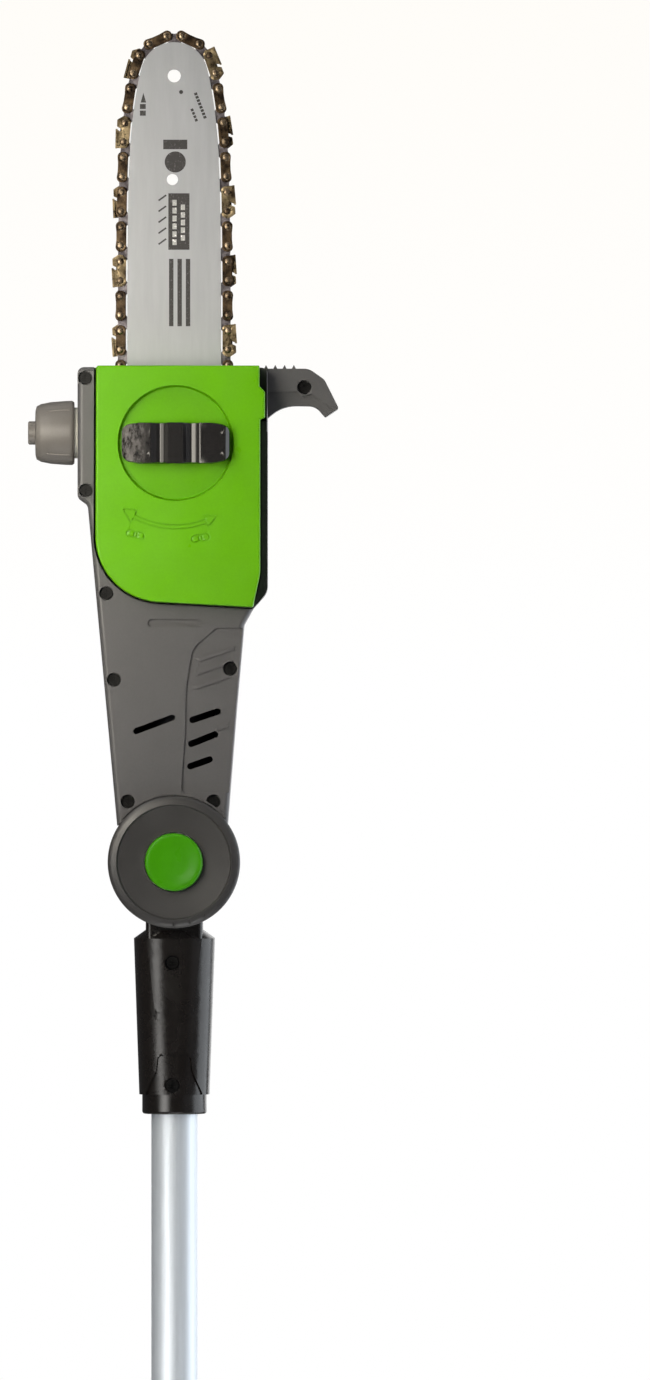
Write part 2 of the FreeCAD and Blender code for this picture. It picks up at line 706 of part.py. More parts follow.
def screw_post(x, z):
    """Boss between the two shells round one screw."""
    reach = 12.0 if x > 60 else HOUSING_BACK_Y - 1
    return rod_y(5.0, x, z, HOUSING_FRONT_Y + 1, reach)


def housing_block():
    """Both shells as one, before the split."""
    body = slab(housing_outline(), HOUSING_FRONT_Y, HOUSING_BACK_Y)
    body = soften(body, 4, edges_at_y(HOUSING_BACK_Y))
    body = soften(body, EDGE_ROUNDING, edges_at_y(HOUSING_FRONT_Y))
    ears = rod_y(EAR_R, 0, 0, HOUSING_FRONT_Y, HOUSING_BACK_Y)
    collar = tube_y(PIVOT_DISC_R + 1.5, PIVOT_DISC_R + 0.5, 0, 0, HOUSING_FRONT_Y - 2, HOUSING_FRONT_Y + 1)
    collar = collar.common(block((-60, 60), (-60, 0), (24, 60)))
    body = fuse([body, ears, collar])
    body = body.cut(shell_cavity())
    posts = [screw_post(x, z).common(slab(housing_outline(), HOUSING_FRONT_Y + 1, HOUSING_BACK_Y - 1))
             for x, z in SHELL_SCREWS if x < 60]
    body = fuse([body, make_hook()] + posts)
    return body.cut(slab(pocket_outline(), HOUSING_FRONT_Y - 5, POCKET_FLOOR_Y))


def vent_slots():
    y0 = HOUSING_FRONT_Y - 1
    y1 = HOUSING_FRONT_Y + WALL + 1
    vents = [slot(-20.7, 71.8, -1, 79.1, 3.4, y0, y1)]
    for x0, z0, x1, z1 in ((10.2, 77.9, 24, 82.5), (9.5, 64.8, 22.5, 69.9), (9, 52.5, 19.5, 56.2)):
        vents.append(slot(x0, z0, x1, z1, 3.6, y0, y1))
    return vents


def rear_vents():
    vents = []
    for index in range(5):
        z = 58 + 9 * index
        vents.append(slot(-14, z, 14, z + 4, 3.6, HOUSING_BACK_Y - WALL - 1, HOUSING_BACK_Y + 1))
    return vents


def bearing_seats():
    front = tube_y(14, 11 + SEATED, 0, SHAFT_Z, POCKET_FLOOR_Y + 0.6, -2.9)
    rear = tube_y(14, 11 + SEATED, 0, SHAFT_Z, 19.9, HOUSING_BACK_Y - WALL + 0.5)
    web = block((-26, 26), (2, HOUSING_BACK_Y - WALL + 0.5), (139, 146))
    web = web.cut(rod_z(8 + SEATED, 130, 150, 0, MOTOR_Y))
    saddle = block((-24, 24), (14, HOUSING_BACK_Y - WALL + 0.5), (44, 49))
    saddle = saddle.cut(rod_z(9, 40, 60, 0, MOTOR_Y))
    return front, rear, web, saddle


def recessed_panel():
    """Shallow step on the lower right of the front shell."""
    return slab(outline([
        (23, 128.3, 3),
        (10, 117, 12),
        (6.6, 95, 30),
        (6, 70, 30),
        (3.8, 38, 3),
        (60, 38, 0),
        (60, 128.3, 0),
    ]), HOUSING_FRONT_Y - 1, HOUSING_FRONT_Y + 1.3)


def panel_ribs():
    """Slanted ribs on the recessed panel, above and between the vents."""
    ribs = []
    for x0, z0, x1, z1 in ((13, 96, 30, 102), (12.5, 103.5, 31, 110), (14, 111, 32, 117), (24, 73, 29, 75)):
        ribs.append(slot(x0, z0, x1, z1, 2.0, HOUSING_FRONT_Y + 0.3, HOUSING_FRONT_Y + 2))
    return ribs


def make_housing():
    body = housing_block()
    front_seat, rear_seat, web, saddle = bearing_seats()
    body = fuse([body, front_seat, rear_seat, web, saddle])
    hub_room = [
        rod_y(HUB_R + 1.2, 0, 0, -EAR_Y, EAR_Y),
        block((-60, 60), (-EAR_Y, EAR_Y), (-60, 0)),
        rod_y(18.4, 0, 0, HOUSING_FRONT_Y - 1, -22.2),
        rod_y(5 + SEATED, 0, 0, -40, 40),
        rod_y(10, 0, 0, 29, HOUSING_BACK_Y + 1),
    ]
    for spoke in range(3):
        angle = math.radians(90 + 120 * spoke)
        x = LOCK_PIN_CIRCLE * math.cos(angle)
        z = LOCK_PIN_CIRCLE * math.sin(angle)
        hub_room.append(rod_y(LOCK_PIN_R + RUNNING, x, z, -30, -15))
    openings = [
        rod_y(11 + SEATED, 0, SHAFT_Z, POCKET_FLOOR_Y + 0.6, 0),
        rod_y(6, 0, SHAFT_Z, POCKET_FLOOR_Y - 1, 0),
        rod_y(STUD_R + SEATED, STUD[0], STUD[1], POCKET_FLOOR_Y - 1, 0),
        rod_x(14 + SEATED, OIL_Y, OIL_Z, -60, -45),
        slot(-12.2, 131, 13.2, 131, 4.4, HOUSING_FRONT_Y - 1, HOUSING_FRONT_Y + 1.6),
        recessed_panel(),
    ]
    for shape in hub_room + openings + vent_slots() + rear_vents():
        body = body.cut(shape)
    body = fuse([body] + panel_ribs())
    screws = []
    for x, z in SHELL_SCREWS:
        face = -HOOK_HALF if x > 60 else HOUSING_FRONT_Y
        tip = 9 if x > 60 else 14
        body = body.cut(rod_y(SCREW_RECESS_R, x, z, face - 1, face + 5))
        body = body.cut(rod_y(1.55, x, z, face + 4, tip + 1))
        screws.append(handle_screw(x, z, face + 5, tip))
    everywhere = (-120, 120)
    save_on_head("housing_front", body.common(block(everywhere, (-60, 0), (-60, 320))))
    save_on_head("housing_rear", body.common(block(everywhere, (0, 60), (-60, 320))))
    save_on_head("housing_screws", *screws)


def make_pivot():
    # Dished cap with a bevelled rim and a bore for the button
    front_cap = lathe([
        (BUTTON_R + 0.5, 0), (PIVOT_DISC_R, 0), (PIVOT_DISC_R, 4.2), (PIVOT_DISC_R - 1.2, 5.6),
        (31.6, 6.4), (30.7, 5.2), (BUTTON_R + 3, 4.0), (BUTTON_R + 0.5, 4.0),
    ])
    front_cap = facing_front(front_cap, 0, HOUSING_FRONT_Y, 0)
    for stop in range(3):
        tick = block((-0.3, 0.3), (-36, -33.3), (-36.4, -32.6))
        tick.rotate(ORIGIN, Y_AXIS, -LOCK_STEP * stop)
        front_cap = front_cap.cut(tick)
    save_on_head("pivot_disc_front", front_cap)
    rear_cap = lathe([(0, 0), (34, 0), (34, 2), (32, 4), (14, 4), (12, 3), (0, 3)])
    rear_cap.rotate(ORIGIN, X_AXIS, -90)
    rear_cap.translate(at(0, HOUSING_BACK_Y, 0))
    save_on_head("pivot_disc_rear", rear_cap)
    bolt = fuse([rod_y(5, 0, 0, -22.2, 34), rod_y(6.5, 0, 0, -25.5, -22.2)])
    bolt = bolt.cut(hex_y(5, -27, -24))
    nut = hex_y(15, 29.2, 34.4).cut(rod_y(5 + SEATED, 0, 0, 20, 40))
    save_on_head("pivot_bolt", bolt, nut)


def hex_y(across, y0, y1):
    """Hexagonal bar along Y, by its width across flats."""
    corner = across / math.sqrt(3)
    points = [at(corner * math.cos(math.radians(60 * i)), y0, corner * math.sin(math.radians(60 * i)))
              for i in range(7)]
    return Part.Face(Part.makePolygon(points)).extrude(at(0, y1 - y0, 0))


def make_pivot_button():
    cap = lathe([
        (0, 7.8), (8, 8.1), (13.4, 8.9), (14.9, 8.8), (BUTTON_R, 7.8),
        (BUTTON_R, 0.1), (9, 0.1), (9, 5), (0, 5),
    ])
    save_on_head("pivot_button", facing_front(cap, 0, HOUSING_FRONT_Y + 0.2, 0))
    plate = rod_y(17.8, 0, 0, -27.9, -26.5).cut(rod_y(7.2, 0, 0, -30, -20))
    pins = []
    for spoke in range(3):
        angle = math.radians(90 + 120 * spoke)
        x = LOCK_PIN_CIRCLE * math.cos(angle)
        z = LOCK_PIN_CIRCLE * math.sin(angle)
        pins.append(fuse([rod_y(LOCK_PIN_R, x, z, -27, -16.2), rod_y(1.8, x, z, -27, -14.4)]))
    save_on_head("lock_plate", fuse([plate] + pins))
    coil = Part.makeHelix(1.6, 3.2, 8.9)
    section = Part.Wire(Part.makeCircle(0.45, at(8.9, 0, 0), Y_AXIS))
    spring = Part.Wire(coil).makePipeShell([section], True, False)
    save_on_head("pivot_spring", facing_front(spring, 0, -22.7, 0))


# ---------------------------------------------------------------- guide bar and chain

def bar_half_width(drop):
    """Bar's half-width at a distance below the nose's centre."""
    return BAR_WIDTH_HALF - (BAR_WIDTH_HALF - BAR_NOSE_R) * math.exp(-drop / BAR_NARROWING)


def side_points(grow, drops):
    """Points down the bar's right edge, moved out along its normal."""
    blend = math.radians(BAR_BLEND_ANGLE)
    nose = BAR_NOSE_R + grow
    points = [at(nose * math.cos(blend), 0, BAR_NOSE_Z + nose * math.sin(blend))]
    for drop in drops:
        slope = (BAR_WIDTH_HALF - bar_half_width(drop)) / BAR_NARROWING
        lean = math.atan(slope)
        x = bar_half_width(drop) + grow * math.cos(lean)
        points.append(at(x, 0, BAR_NOSE_Z - drop + grow * math.sin(lean)))
    return points


def side_curve(grow, drops):
    blend = math.radians(BAR_BLEND_ANGLE)
    curve = Part.BSplineCurve()
    curve.interpolate(
        Points=side_points(grow, drops),
        InitialTangent=at(math.sin(blend), 0, -math.cos(blend)),
        FinalTangent=at(0, 0, -1),
    )
    return curve.toShape()


def mirrored(edge):
    return edge.mirror(ORIGIN, X_AXIS)


def nose_arc(grow):
    blend = math.radians(BAR_BLEND_ANGLE)
    radius = BAR_NOSE_R + grow
    right = at(radius * math.cos(blend), 0, BAR_NOSE_Z + radius * math.sin(blend))
    left = at(-right.x, 0, right.z)
    return Part.Arc(left, at(0, 0, BAR_NOSE_Z + radius), right).toShape()


def bar_outline(grow):
    """Guide bar's edge, moved out by grow, closed by a rounded tail."""
    right = side_curve(grow, (14.0, 30.0, 50.0, 90.0, BAR_STRAIGHT))
    end = right.valueAt(right.LastParameter)
    tail_z = BAR_TAIL_Z - grow
    edges = [nose_arc(grow), right, mirrored(right)]
    for side in (1, -1):
        start = at(side * end.x, 0, end.z)
        knee = at(side * (end.x - BAR_SHOULDER), 0, tail_z)
        middle = at(side * (end.x - BAR_SHOULDER * 0.34), 0, tail_z + (end.z - tail_z) * 0.44)
        edges.append(Part.Arc(start, middle, knee).toShape())
    tail_half = end.x - BAR_SHOULDER
    edges.append(Part.LineSegment(at(tail_half, 0, tail_z), at(-tail_half, 0, tail_z)).toShape())
    return Part.Wire(Part.__sortEdges__(edges))


def make_guide_bar():
    face = bar_outline(0)
    core = bar_outline(-GROOVE_DEPTH)
    front = slab(face, BAR_Y - BAR_HALF, BAR_Y - 0.75)
    rear = slab(face, BAR_Y + 0.75, BAR_Y + BAR_HALF)
    middle = slab(core, BAR_Y - 0.75, BAR_Y + 0.75).cut(rod_y(16.2, 0, BAR_NOSE_Z, -20, -8))
    bar = fuse([front, rear, middle])
    holes = [
        rod_y(3.6, 0, BAR_NOSE_Z, -20, -8),
        rod_y(3.1, -1, 374.6, -20, -8),
        rod_y(1.0, 3.8, 422.6, -20, BAR_Y),
        slot(STUD[0], STUD[1] - 8, STUD[0], STUD[1] + 8, 2 * STUD_R + 0.3, -20, -8),
        rod_y(3.0, -13, 246, -20, -8),
        rod_y(3.0, 13, 246, -20, -8),
    ]
    for hole in holes:
        bar = bar.cut(hole)
    save_on_head("guide_bar", bar)
    star = star_wheel(7, 14.2, 10.6, 2.0)
    wheel = slab(star, BAR_Y - 0.6, BAR_Y + 0.6)
    wheel.translate(at(0, 0, BAR_NOSE_Z))
    save_on_head("nose_sprocket", wheel.cut(rod_y(3.6, 0, BAR_NOSE_Z, -20, -8)))


def star_wheel(teeth, tip_r, root_r, tip_half):
    """Sprocket outline about the origin, with flat-tipped teeth."""
    points = []
    for index in range(teeth):
        centre = math.radians(90 + 360 / teeth * index)
        tip = tip_half / tip_r
        foot = tip * 2.0
        for radius, offset in ((root_r, -foot), (tip_r, -tip), (tip_r, tip), (root_r, foot)):
            points.append(at(radius * math.cos(centre + offset), 0, radius * math.sin(centre + offset)))
    return Part.makePolygon(points + [points[0]])


def chain_path():
    """Closed line through the chain's rivets: round the nose, down the bar and round the sprocket."""
    right = side_curve(RIVET_LIFT, (14.0, 30.0, 50.0, 90.0, CHAIN_LEAVES))
    start = right.valueAt(right.LastParameter)
    centre = at(0, 0, SHAFT_Z)
    away = start - centre
    turn = math.acos(SPROCKET_RIVET_R / away.Length)
    heading = math.atan2(away.z, away.x) - turn
    touch = at(SPROCKET_RIVET_R * math.cos(heading), 0, SHAFT_Z + SPROCKET_RIVET_R * math.sin(heading))
    run = Part.LineSegment(start, touch).toShape()
    bottom = at(0, 0, SHAFT_Z - SPROCKET_RIVET_R)
    wrap = Part.Arc(touch, bottom, at(-touch.x, 0, touch.z)).toShape()
    half = [right, run]
    edges = [nose_arc(RIVET_LIFT)] + half + [wrap] + [mirrored(edge) for edge in half]
    return Part.Wire(Part.__sortEdges__(edges))


def path_reader():
    """Function from a share of the loop, clockwise from the nose's top, to a point on it."""
    samples = chain_path().discretize(Number=4001)
    top = max(range(len(samples)), key=lambda i: samples[i].z)
    ring = samples[top:-1] + samples[:top]
    if ring[10].x < ring[0].x:
        ring = [ring[0]] + ring[:0:-1]

    def point(share):
        place = (share % 1.0) * len(ring)
        index = int(place)
        rest = place - index
        a = ring[index % len(ring)]
        b = ring[(index + 1) % len(ring)]
        return a + (b - a) * rest

    return point


def placed_link(link, first, second):
    """Moves a link drawn along X so that its holes sit on two rivets."""
    run = second - first
    turned = link.copy()
    turned.rotate(ORIGIN, Y_AXIS, -math.degrees(math.atan2(run.z, run.x)))
    middle = (first + second) * 0.5
    turned.translate(at(middle.x, BAR_Y, middle.z))
    return turned


def link_plate(corners, half_pitch, y0, y1):
    plate = slab(outline(corners), y0, y1)
    for side in (-1, 1):
        plate = plate.cut(rod_y(1.68, side * half_pitch, 0, y0 - 1, y1 + 1))
    return plate


def tie_strap(half_pitch, side):
    y0, y1 = sorted((side * 0.7, side * (0.7 + LINK_PLATE)))
    reach = half_pitch + 3.2
    return link_plate([
        (-reach, -3.1, 2.6), (reach, -3.1, 2.6), (reach, 3.1, 2.6),
        (half_pitch * 0.4, 2.4, 4), (-half_pitch * 0.4, 2.4, 4), (-reach, 3.1, 2.6),
    ], half_pitch, y0, y1)


def drive_link(half_pitch):
    reach = half_pitch + 2.9
    return link_plate([
        (-reach, -2.4, 2.0), (-3.2, -3.3, 1.5), (-1.6, -7.4, 0.6), (1.2, -7.4, 0.6), (4.0, -3.3, 1.5),
        (reach, -2.4, 2.0), (reach, 2.7, 2.4), (0, 1.2, 6), (-reach, 2.7, 2.4),
    ], half_pitch, -DRIVE_LINK_HALF, DRIVE_LINK_HALF)


def cutter(half_pitch, side):
    """Side plate with a depth gauge in front and a top plate that leans out behind it."""
    y0, y1 = sorted((side * 0.7, side * (0.7 + LINK_PLATE)))
    reach = half_pitch + 3.2
    plate = link_plate([
        (-reach, -3.1, 2.6), (reach, -3.1, 2.6), (reach + 0.8, 1.0, 1.5), (half_pitch + 1.6, 4.5, 0.8),
        (half_pitch - 2.2, 4.3, 0.6), (half_pitch - 3.4, 1.5, 0.5), (0.2, 1.5, 0.5), (1.6, 4.9, 0.2),
        (-reach - 0.6, 4.2, 0.4), (-reach - 0.2, 0, 1.0),
    ], half_pitch, y0, y1)
    t0, t1 = sorted((side * (0.7 + LINK_PLATE + 1.0), side * -1.4))
    top = slab(outline([
        (1.6, 3.8, 0), (1.6, 4.9, 0), (-reach - 0.6, 4.2, 0), (-reach - 0.6, 3.2, 0),
    ]), t0, t1)
    return fuse([plate, top])


def make_chain():
    point = path_reader()
    pitch = 1.0 / DRIVE_LINKS
    inner = DRIVE_LINK_SHARE * pitch
    links = []
    straps = []
    cutters = []
    rivets = []
    rivet = lathe([
        (0, -2.45), (1.2, -2.35), (2.0, -1.93), (1.62, -1.92),
        (1.62, 1.92), (2.0, 1.93), (1.2, 2.35), (0, 2.45),
    ])
    for index in range(DRIVE_LINKS):
        first = point(index * pitch - inner / 2)
        second = point(index * pitch + inner / 2)
        third = point((index + 1) * pitch - inner / 2)
        links.append(placed_link(drive_link((second - first).Length / 2), first, second))
        outer_half = (third - second).Length / 2
        cutter_side = {1: -1, 3: 1}.get(index % 4, 0)
        for side in (-1, 1):
            if side == cutter_side:
                cutters.append(placed_link(cutter(outer_half, side), second, third))
            else:
                straps.append(placed_link(tie_strap(outer_half, side), second, third))
        for place in (first, second):
            rivets.append(facing_front(rivet, place.x, BAR_Y, place.z))
    save_on_head("chain_drive_links", *links)
    save_on_head("chain_tie_straps", *straps)
    save_on_head("chain_cutters", *cutters)
    save_on_head("chain_rivets", *rivets)


def make_bar_mount():
    plate = slab(outline([
        (-21, 262, 4), (21, 262, 4), (21, 214, 4), (14, 206, 4), (-14, 206, 4), (-21, 214, 4),
    ]), POCKET_FLOOR_Y - 1.5, POCKET_FLOOR_Y)
    plate = plate.cut(rod_y(STUD_R + SEATED, STUD[0], STUD[1], -20, 0))
    save_on_head("bar_mount_plate", plate)
    x, z = STUD
    stud = fuse([rod_y(STUD_R, x, z, -31, -4), rod_y(7, x, z, POCKET_FLOOR_Y + 2.5, -4)])
    save_on_head("bar_stud", stud)


def make_cover_seal():
    """Rubber strip on the underside, between the cover's edge and the shells."""
    strip = slab(outline([
        (47.9, 241.6, 0),
        (51.2, 241.6, 0.5),
        (51.2, 148.5, 9),
        (43.9, 138.9, 0.8),
        (47.9, 157.5, 24),
    ]), -26, POCKET_FLOOR_Y)
    save_on_head("cover_seal", strip.common(slab(pocket_outline(), -30, POCKET_FLOOR_Y)))


# ---------------------------------------------------------------- cover and knob

def turning_arrow():
    """Two-headed arrow that curves round the knob."""
    x, z = STUD

    def spot(radius, angle):
        turn = math.radians(angle)
        return at(x + radius * math.sin(turn), 0, z - radius * math.cos(turn))

    def head(places):
        return Part.makePolygon([spot(radius, angle) for radius, angle in places]).Edges

    inner = Part.Arc(spot(44.5, -29), spot(44.5, -4), spot(44.5, 21)).toShape()
    outer = Part.Arc(spot(47.5, 21), spot(47.5, -4), spot(47.5, -29)).toShape()
    right_head = head([(44.5, 21), (41.6, 21), (46, 30), (50.4, 21), (47.5, 21)])
    left_head = head([(47.5, -29), (50.4, -29), (46, -39), (41.6, -29), (44.5, -29)])
    return Part.Wire([inner] + right_head + [outer] + left_head)


def link_mark(x, z, tilt):
    """Two small chain links, drawn as outlines."""
    marks = []
    for offset in (-2.0, 2.0):
        ring = slot(x + offset - 1.2, z, x + offset + 1.2, z, 4.4, -39, -37.2)
        ring = ring.cut(slot(x + offset - 1.2, z, x + offset + 1.2, z, 2.6, -40, -36))
        ring.rotate(at(x, 0, z), Y_AXIS, tilt)
        marks.append(ring)
    return marks


def cover_engraving():
    arrow = turning_arrow()
    band = slab(arrow, -39, -37.2).cut(slab(arrow.makeOffset2D(-0.8), -40, -36))
    return [band] + link_mark(-20.9, 179.4, 12) + link_mark(14.7, 177.5, -10)


def make_cover():
    x, z = STUD
    body = slab(cover_outline(), -38, POCKET_FLOOR_Y - LOOSE)
    body = soften(body, 1.2, edges_at_y(-38))
    inside = slab(cover_outline().makeOffset2D(-2.4), -35.4, 0)
    body = body.cut(inside)
    boss = rod_y(34.2, x, z, -37, -32.2)
    body = fuse([body, boss])
    dish = lathe([(0, -1), (30.6, -1), (31.2, 0), (31.8, 3.1), (31.8, 6), (0, 6)])
    body = body.cut(facing_front(dish, x, -35.0, z))
    body = body.cut(rod_y(6.4, x, z, -50, -20))
    chain_gate = block((-38, 40), (-19.5, 0), (255, 280))
    for shape in [chain_gate] + cover_engraving():
        body = body.cut(shape)
    save_on_head("sprocket_cover", body)


def make_knob():
    """Bar-shaped hand knob with hollowed flanks, on a captive nut."""
    x, z = STUD
    grip = slab(outline([
        (-29.4, -9.5, 5), (-10, -13.2, 14), (10, -13.2, 14), (29.4, -9.5, 5),
        (29.4, 9.5, 5), (10, 13.2, 14), (-10, 13.2, 14), (-29.4, 9.5, 5),
    ]), -48, -35.6)
    grip = soften(grip, 3, edges_at_y(-48))
    finger_faces = Part.makePolygon([at(px, py, -20) for px, py in (
        (-30, -35), (-30, -44.2), (-27.5, -46.6), (-13.5, -46.6), (-11, -45.2), (-8.5, -44.6), (-6, -45.6),
        (-4.2, -48), (4.2, -48), (6, -45.6), (8.5, -44.6), (11, -45.2), (13.5, -46.6), (27.5, -46.6),
        (30, -44.2), (30, -35), (-30, -35),
    )])
    grip = grip.common(Part.Face(finger_faces).extrude(at(0, 0, 40)))
    for side in (-1, 1):
        left, right = side * 20 - 5.6, side * 20 + 5.6
        window = outline([(left, -6.6, 2), (right, -6.6, 2), (right, 6.6, 2), (left, 6.6, 2)])
        grip = grip.cut(slab(window, -48, -46.1))
    grip.translate(at(x, 0, z))
    for side in (-1, 1):
        scoop = Part.makeCylinder(26, 60, at(x - 30, -42, z + side * 36.5), X_AXIS)
        grip = grip.cut(scoop)
    stem = fuse([rod_y(6, x, z, -36, -16.4), rod_y(8.2, x, z, -31.9, -30.4)])
    knob = fuse([grip, stem]).cut(rod_y(5.2, x, z, -36.5, -16))
    save_on_head("cover_knob", knob)
    nut = tube_y(5.2 - SEATED, STUD_R + RUNNING, x, z, -36.4, -16.5)
    save_on_head("knob_nut", nut)


# ---------------------------------------------------------------- oil tank and cap

def make_oil_parts():
    tank = block((-42, 6), (-4, 32), (214, 266))
    tank = soften(tank, 3, lambda edge: edge.BoundBox.YLength > 30)
    neck = rod_x(14, OIL_Y, OIL_Z, -68, -41)
    tank = fuse([tank, neck])
    tank = tank.cut(block((-40, 4), (-2, 30), (216, 264))).cut(rod_x(11.5, OIL_Y, OIL_Z, -70, -39))
    tank = tank.cut(rod_y(8.5, STUD[0], STUD[1], -6, -2.5))
    save_on_head("oil_tank", tank)
    seal = lathe([(9.5, 68.05), (14.1, 68.05), (14.1, 69.9), (9.5, 69.9)])
    save_on_head("oil_cap_seal", facing_left(seal, 0, OIL_Y, OIL_Z))
    cap = lathe([
        (14.3, 55.2), (16.9, 55.2), (17.7, 56.4), (17.6, 60), (17.0, 68), (15.9, 73.5), (14.6, 75.9),
        (12.5, 76.5), (6.45, 76.5), (6.45, 80.0), (5.8, 80.6), (0, 80.6), (0, 70), (14.3, 70),
    ])
    for index in range(4):
        rib = rod(0.7, at(17.5, 0, 57.5), at(16.7, 0, 70))
        rib.rotate(ORIGIN, Z_AXIS, 45 + 90 * index)
        cap = cap.fuse(rib)
    save_on_head("oil_cap", facing_left(cap, 0, OIL_Y, OIL_Z))


# ---------------------------------------------------------------- motor and gears

def make_motor():
    low, high = MOTOR_SPAN
    can = tube_z(MOTOR_R, MOTOR_R - 1.6, low, high, 0, MOTOR_Y)
    ends = [tube_z(MOTOR_R, 2.5 + RUNNING, foot, foot + 3, 0, MOTOR_Y) for foot in (low, high - 3)]
    save_on_head("motor_can", fuse([can] + ends))
    core = rod_z(16, low + 10, high - 22, 0, MOTOR_Y)
    for index in range(12):
        angle = math.radians(30 * index)
        groove_x = 15.4 * math.cos(angle)
        groove_y = MOTOR_Y + 15.4 * math.sin(angle)
        core = core.cut(rod_z(1.5, low, high, groove_x, groove_y))
    commutator = rod_z(8, high - 21.9, high - 8, 0, MOTOR_Y)
    shaft = rod_z(2.5, low - 3, 168, 0, MOTOR_Y)
    save_on_head("motor_rotor", fuse([core, commutator, shaft]))
    hub = tube_z(6, 2.5 + SEATED, 124, 134, 0, MOTOR_Y)
    disc = tube_z(20, 5.5, 124, 125.5, 0, MOTOR_Y)
    blades = []
    for index in range(9):
        blade = block((5.6, 19.6), (-0.6, 0.6), (125, 133))
        blade.rotate(ORIGIN, Z_AXIS, 40 * index)
        blade.translate(at(0, MOTOR_Y, 0))
        blades.append(blade)
    save_on_head("cooling_fan", fuse([hub, disc] + blades))


def bevel_wheel(teeth, mate_teeth, bore, hub_end):
    """Straight bevel gear with its apex at the origin and its back towards +Z."""
    pitch_r = GEAR_MODULE * teeth / 2
    mate_r = GEAR_MODULE * mate_teeth / 2
    cone = math.hypot(pitch_r, mate_r)
    lean = math.atan2(pitch_r, mate_r)
    along = at(math.sin(lean), 0, math.cos(lean))
    out = at(math.cos(lean), 0, -math.sin(lean))
    addendum = 0.75 * GEAR_MODULE
    dedendum = 1.05 * GEAR_MODULE
    tip_half = 0.34 * GEAR_MODULE
    root_half = 0.92 * GEAR_MODULE
    sections = []
    for reach in (cone, cone - TOOTH_FACE):
        scale = reach / cone
        centre = along * reach
        tip = centre + out * (addendum * scale)
        root = centre - out * ((dedendum + 0.4) * scale)
        side = Y_AXIS * (tip_half * scale)
        foot = Y_AXIS * (root_half * scale)
        sections.append(Part.makePolygon([tip + side, tip - side, root - foot, root + foot, tip + side]))
    tooth = Part.makeLoft(sections, True, True)
    outer = along * cone - out * dedendum
    inner = (along * cone - out * dedendum) * ((cone - TOOTH_FACE) / cone)
    blank = lathe([
        (bore, inner.z), (inner.x, inner.z), (outer.x, outer.z), (outer.x, hub_end), (bore, hub_end),
    ])
    solids = [blank]
    for index in range(teeth):
        copy = tooth.copy()
        copy.rotate(ORIGIN, Z_AXIS, 360 / teeth * index)
        solids.append(copy)
    return fuse(solids)


def make_gears():
    gear = bevel_wheel(GEAR_TEETH, PINION_TEETH, 4 + SEATED, 13.0)
    save_on_head("bevel_gear", facing_front(gear, 0, MOTOR_Y, SHAFT_Z))
    pinion = bevel_wheel(PINION_TEETH, GEAR_TEETH, 2.5 + SEATED, 27.0)
    pinion.rotate(ORIGIN, Z_AXIS, 180 / PINION_TEETH)
    pinion.rotate(ORIGIN, X_AXIS, 180)
    pinion.translate(at(0, MOTOR_Y, SHAFT_Z))
    save_on_head("motor_pinion", pinion)
    save_on_head("drive_shaft", rod_y(4, 0, SHAFT_Z, -21, 27))
    wheel = slab(star_wheel(6, 14.2, 9.0, 1.7), -17, -11)
    wheel.rotate(ORIGIN, Y_AXIS, 180)
    wheel.translate(at(0, 0, SHAFT_Z))
    wheel = fuse([wheel, rod_y(7, 0, SHAFT_Z, -19.5, -17)]).cut(rod_y(4 + SEATED, 0, SHAFT_Z, -30, 0))
    save_on_head("drive_sprocket", wheel)
    bearings = [
        tube_y(11, 4 + RUNNING, 0, SHAFT_Z, POCKET_FLOOR_Y + 0.6, -3),
        tube_y(11, 4 + RUNNING, 0, SHAFT_Z, 20, 27),
        tube_z(8, 2.5 + RUNNING, 140, 145, 0, MOTOR_Y),
    ]
    save_on_head("shaft_bearings", *bearings)


def main():
    make_pole()
    make_pole_cable()
    make_lock_collar()
    make_clamp_lever()
    make_front_grip()
    make_strap_clamp()
    make_rear_handle()
    make_controls()
    make_battery()
    make_neck()
    make_housing()
    make_pivot()
    make_pivot_button()
    make_guide_bar()
    make_chain()
    make_bar_mount()
    make_cover_seal()
    make_cover()
    make_knob()
    make_oil_parts()
    make_motor()
    make_gears()


os.makedirs("parts", exist_ok=True)
main()
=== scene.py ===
import json
import math

import bmesh
import bpy
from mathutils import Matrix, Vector, noise


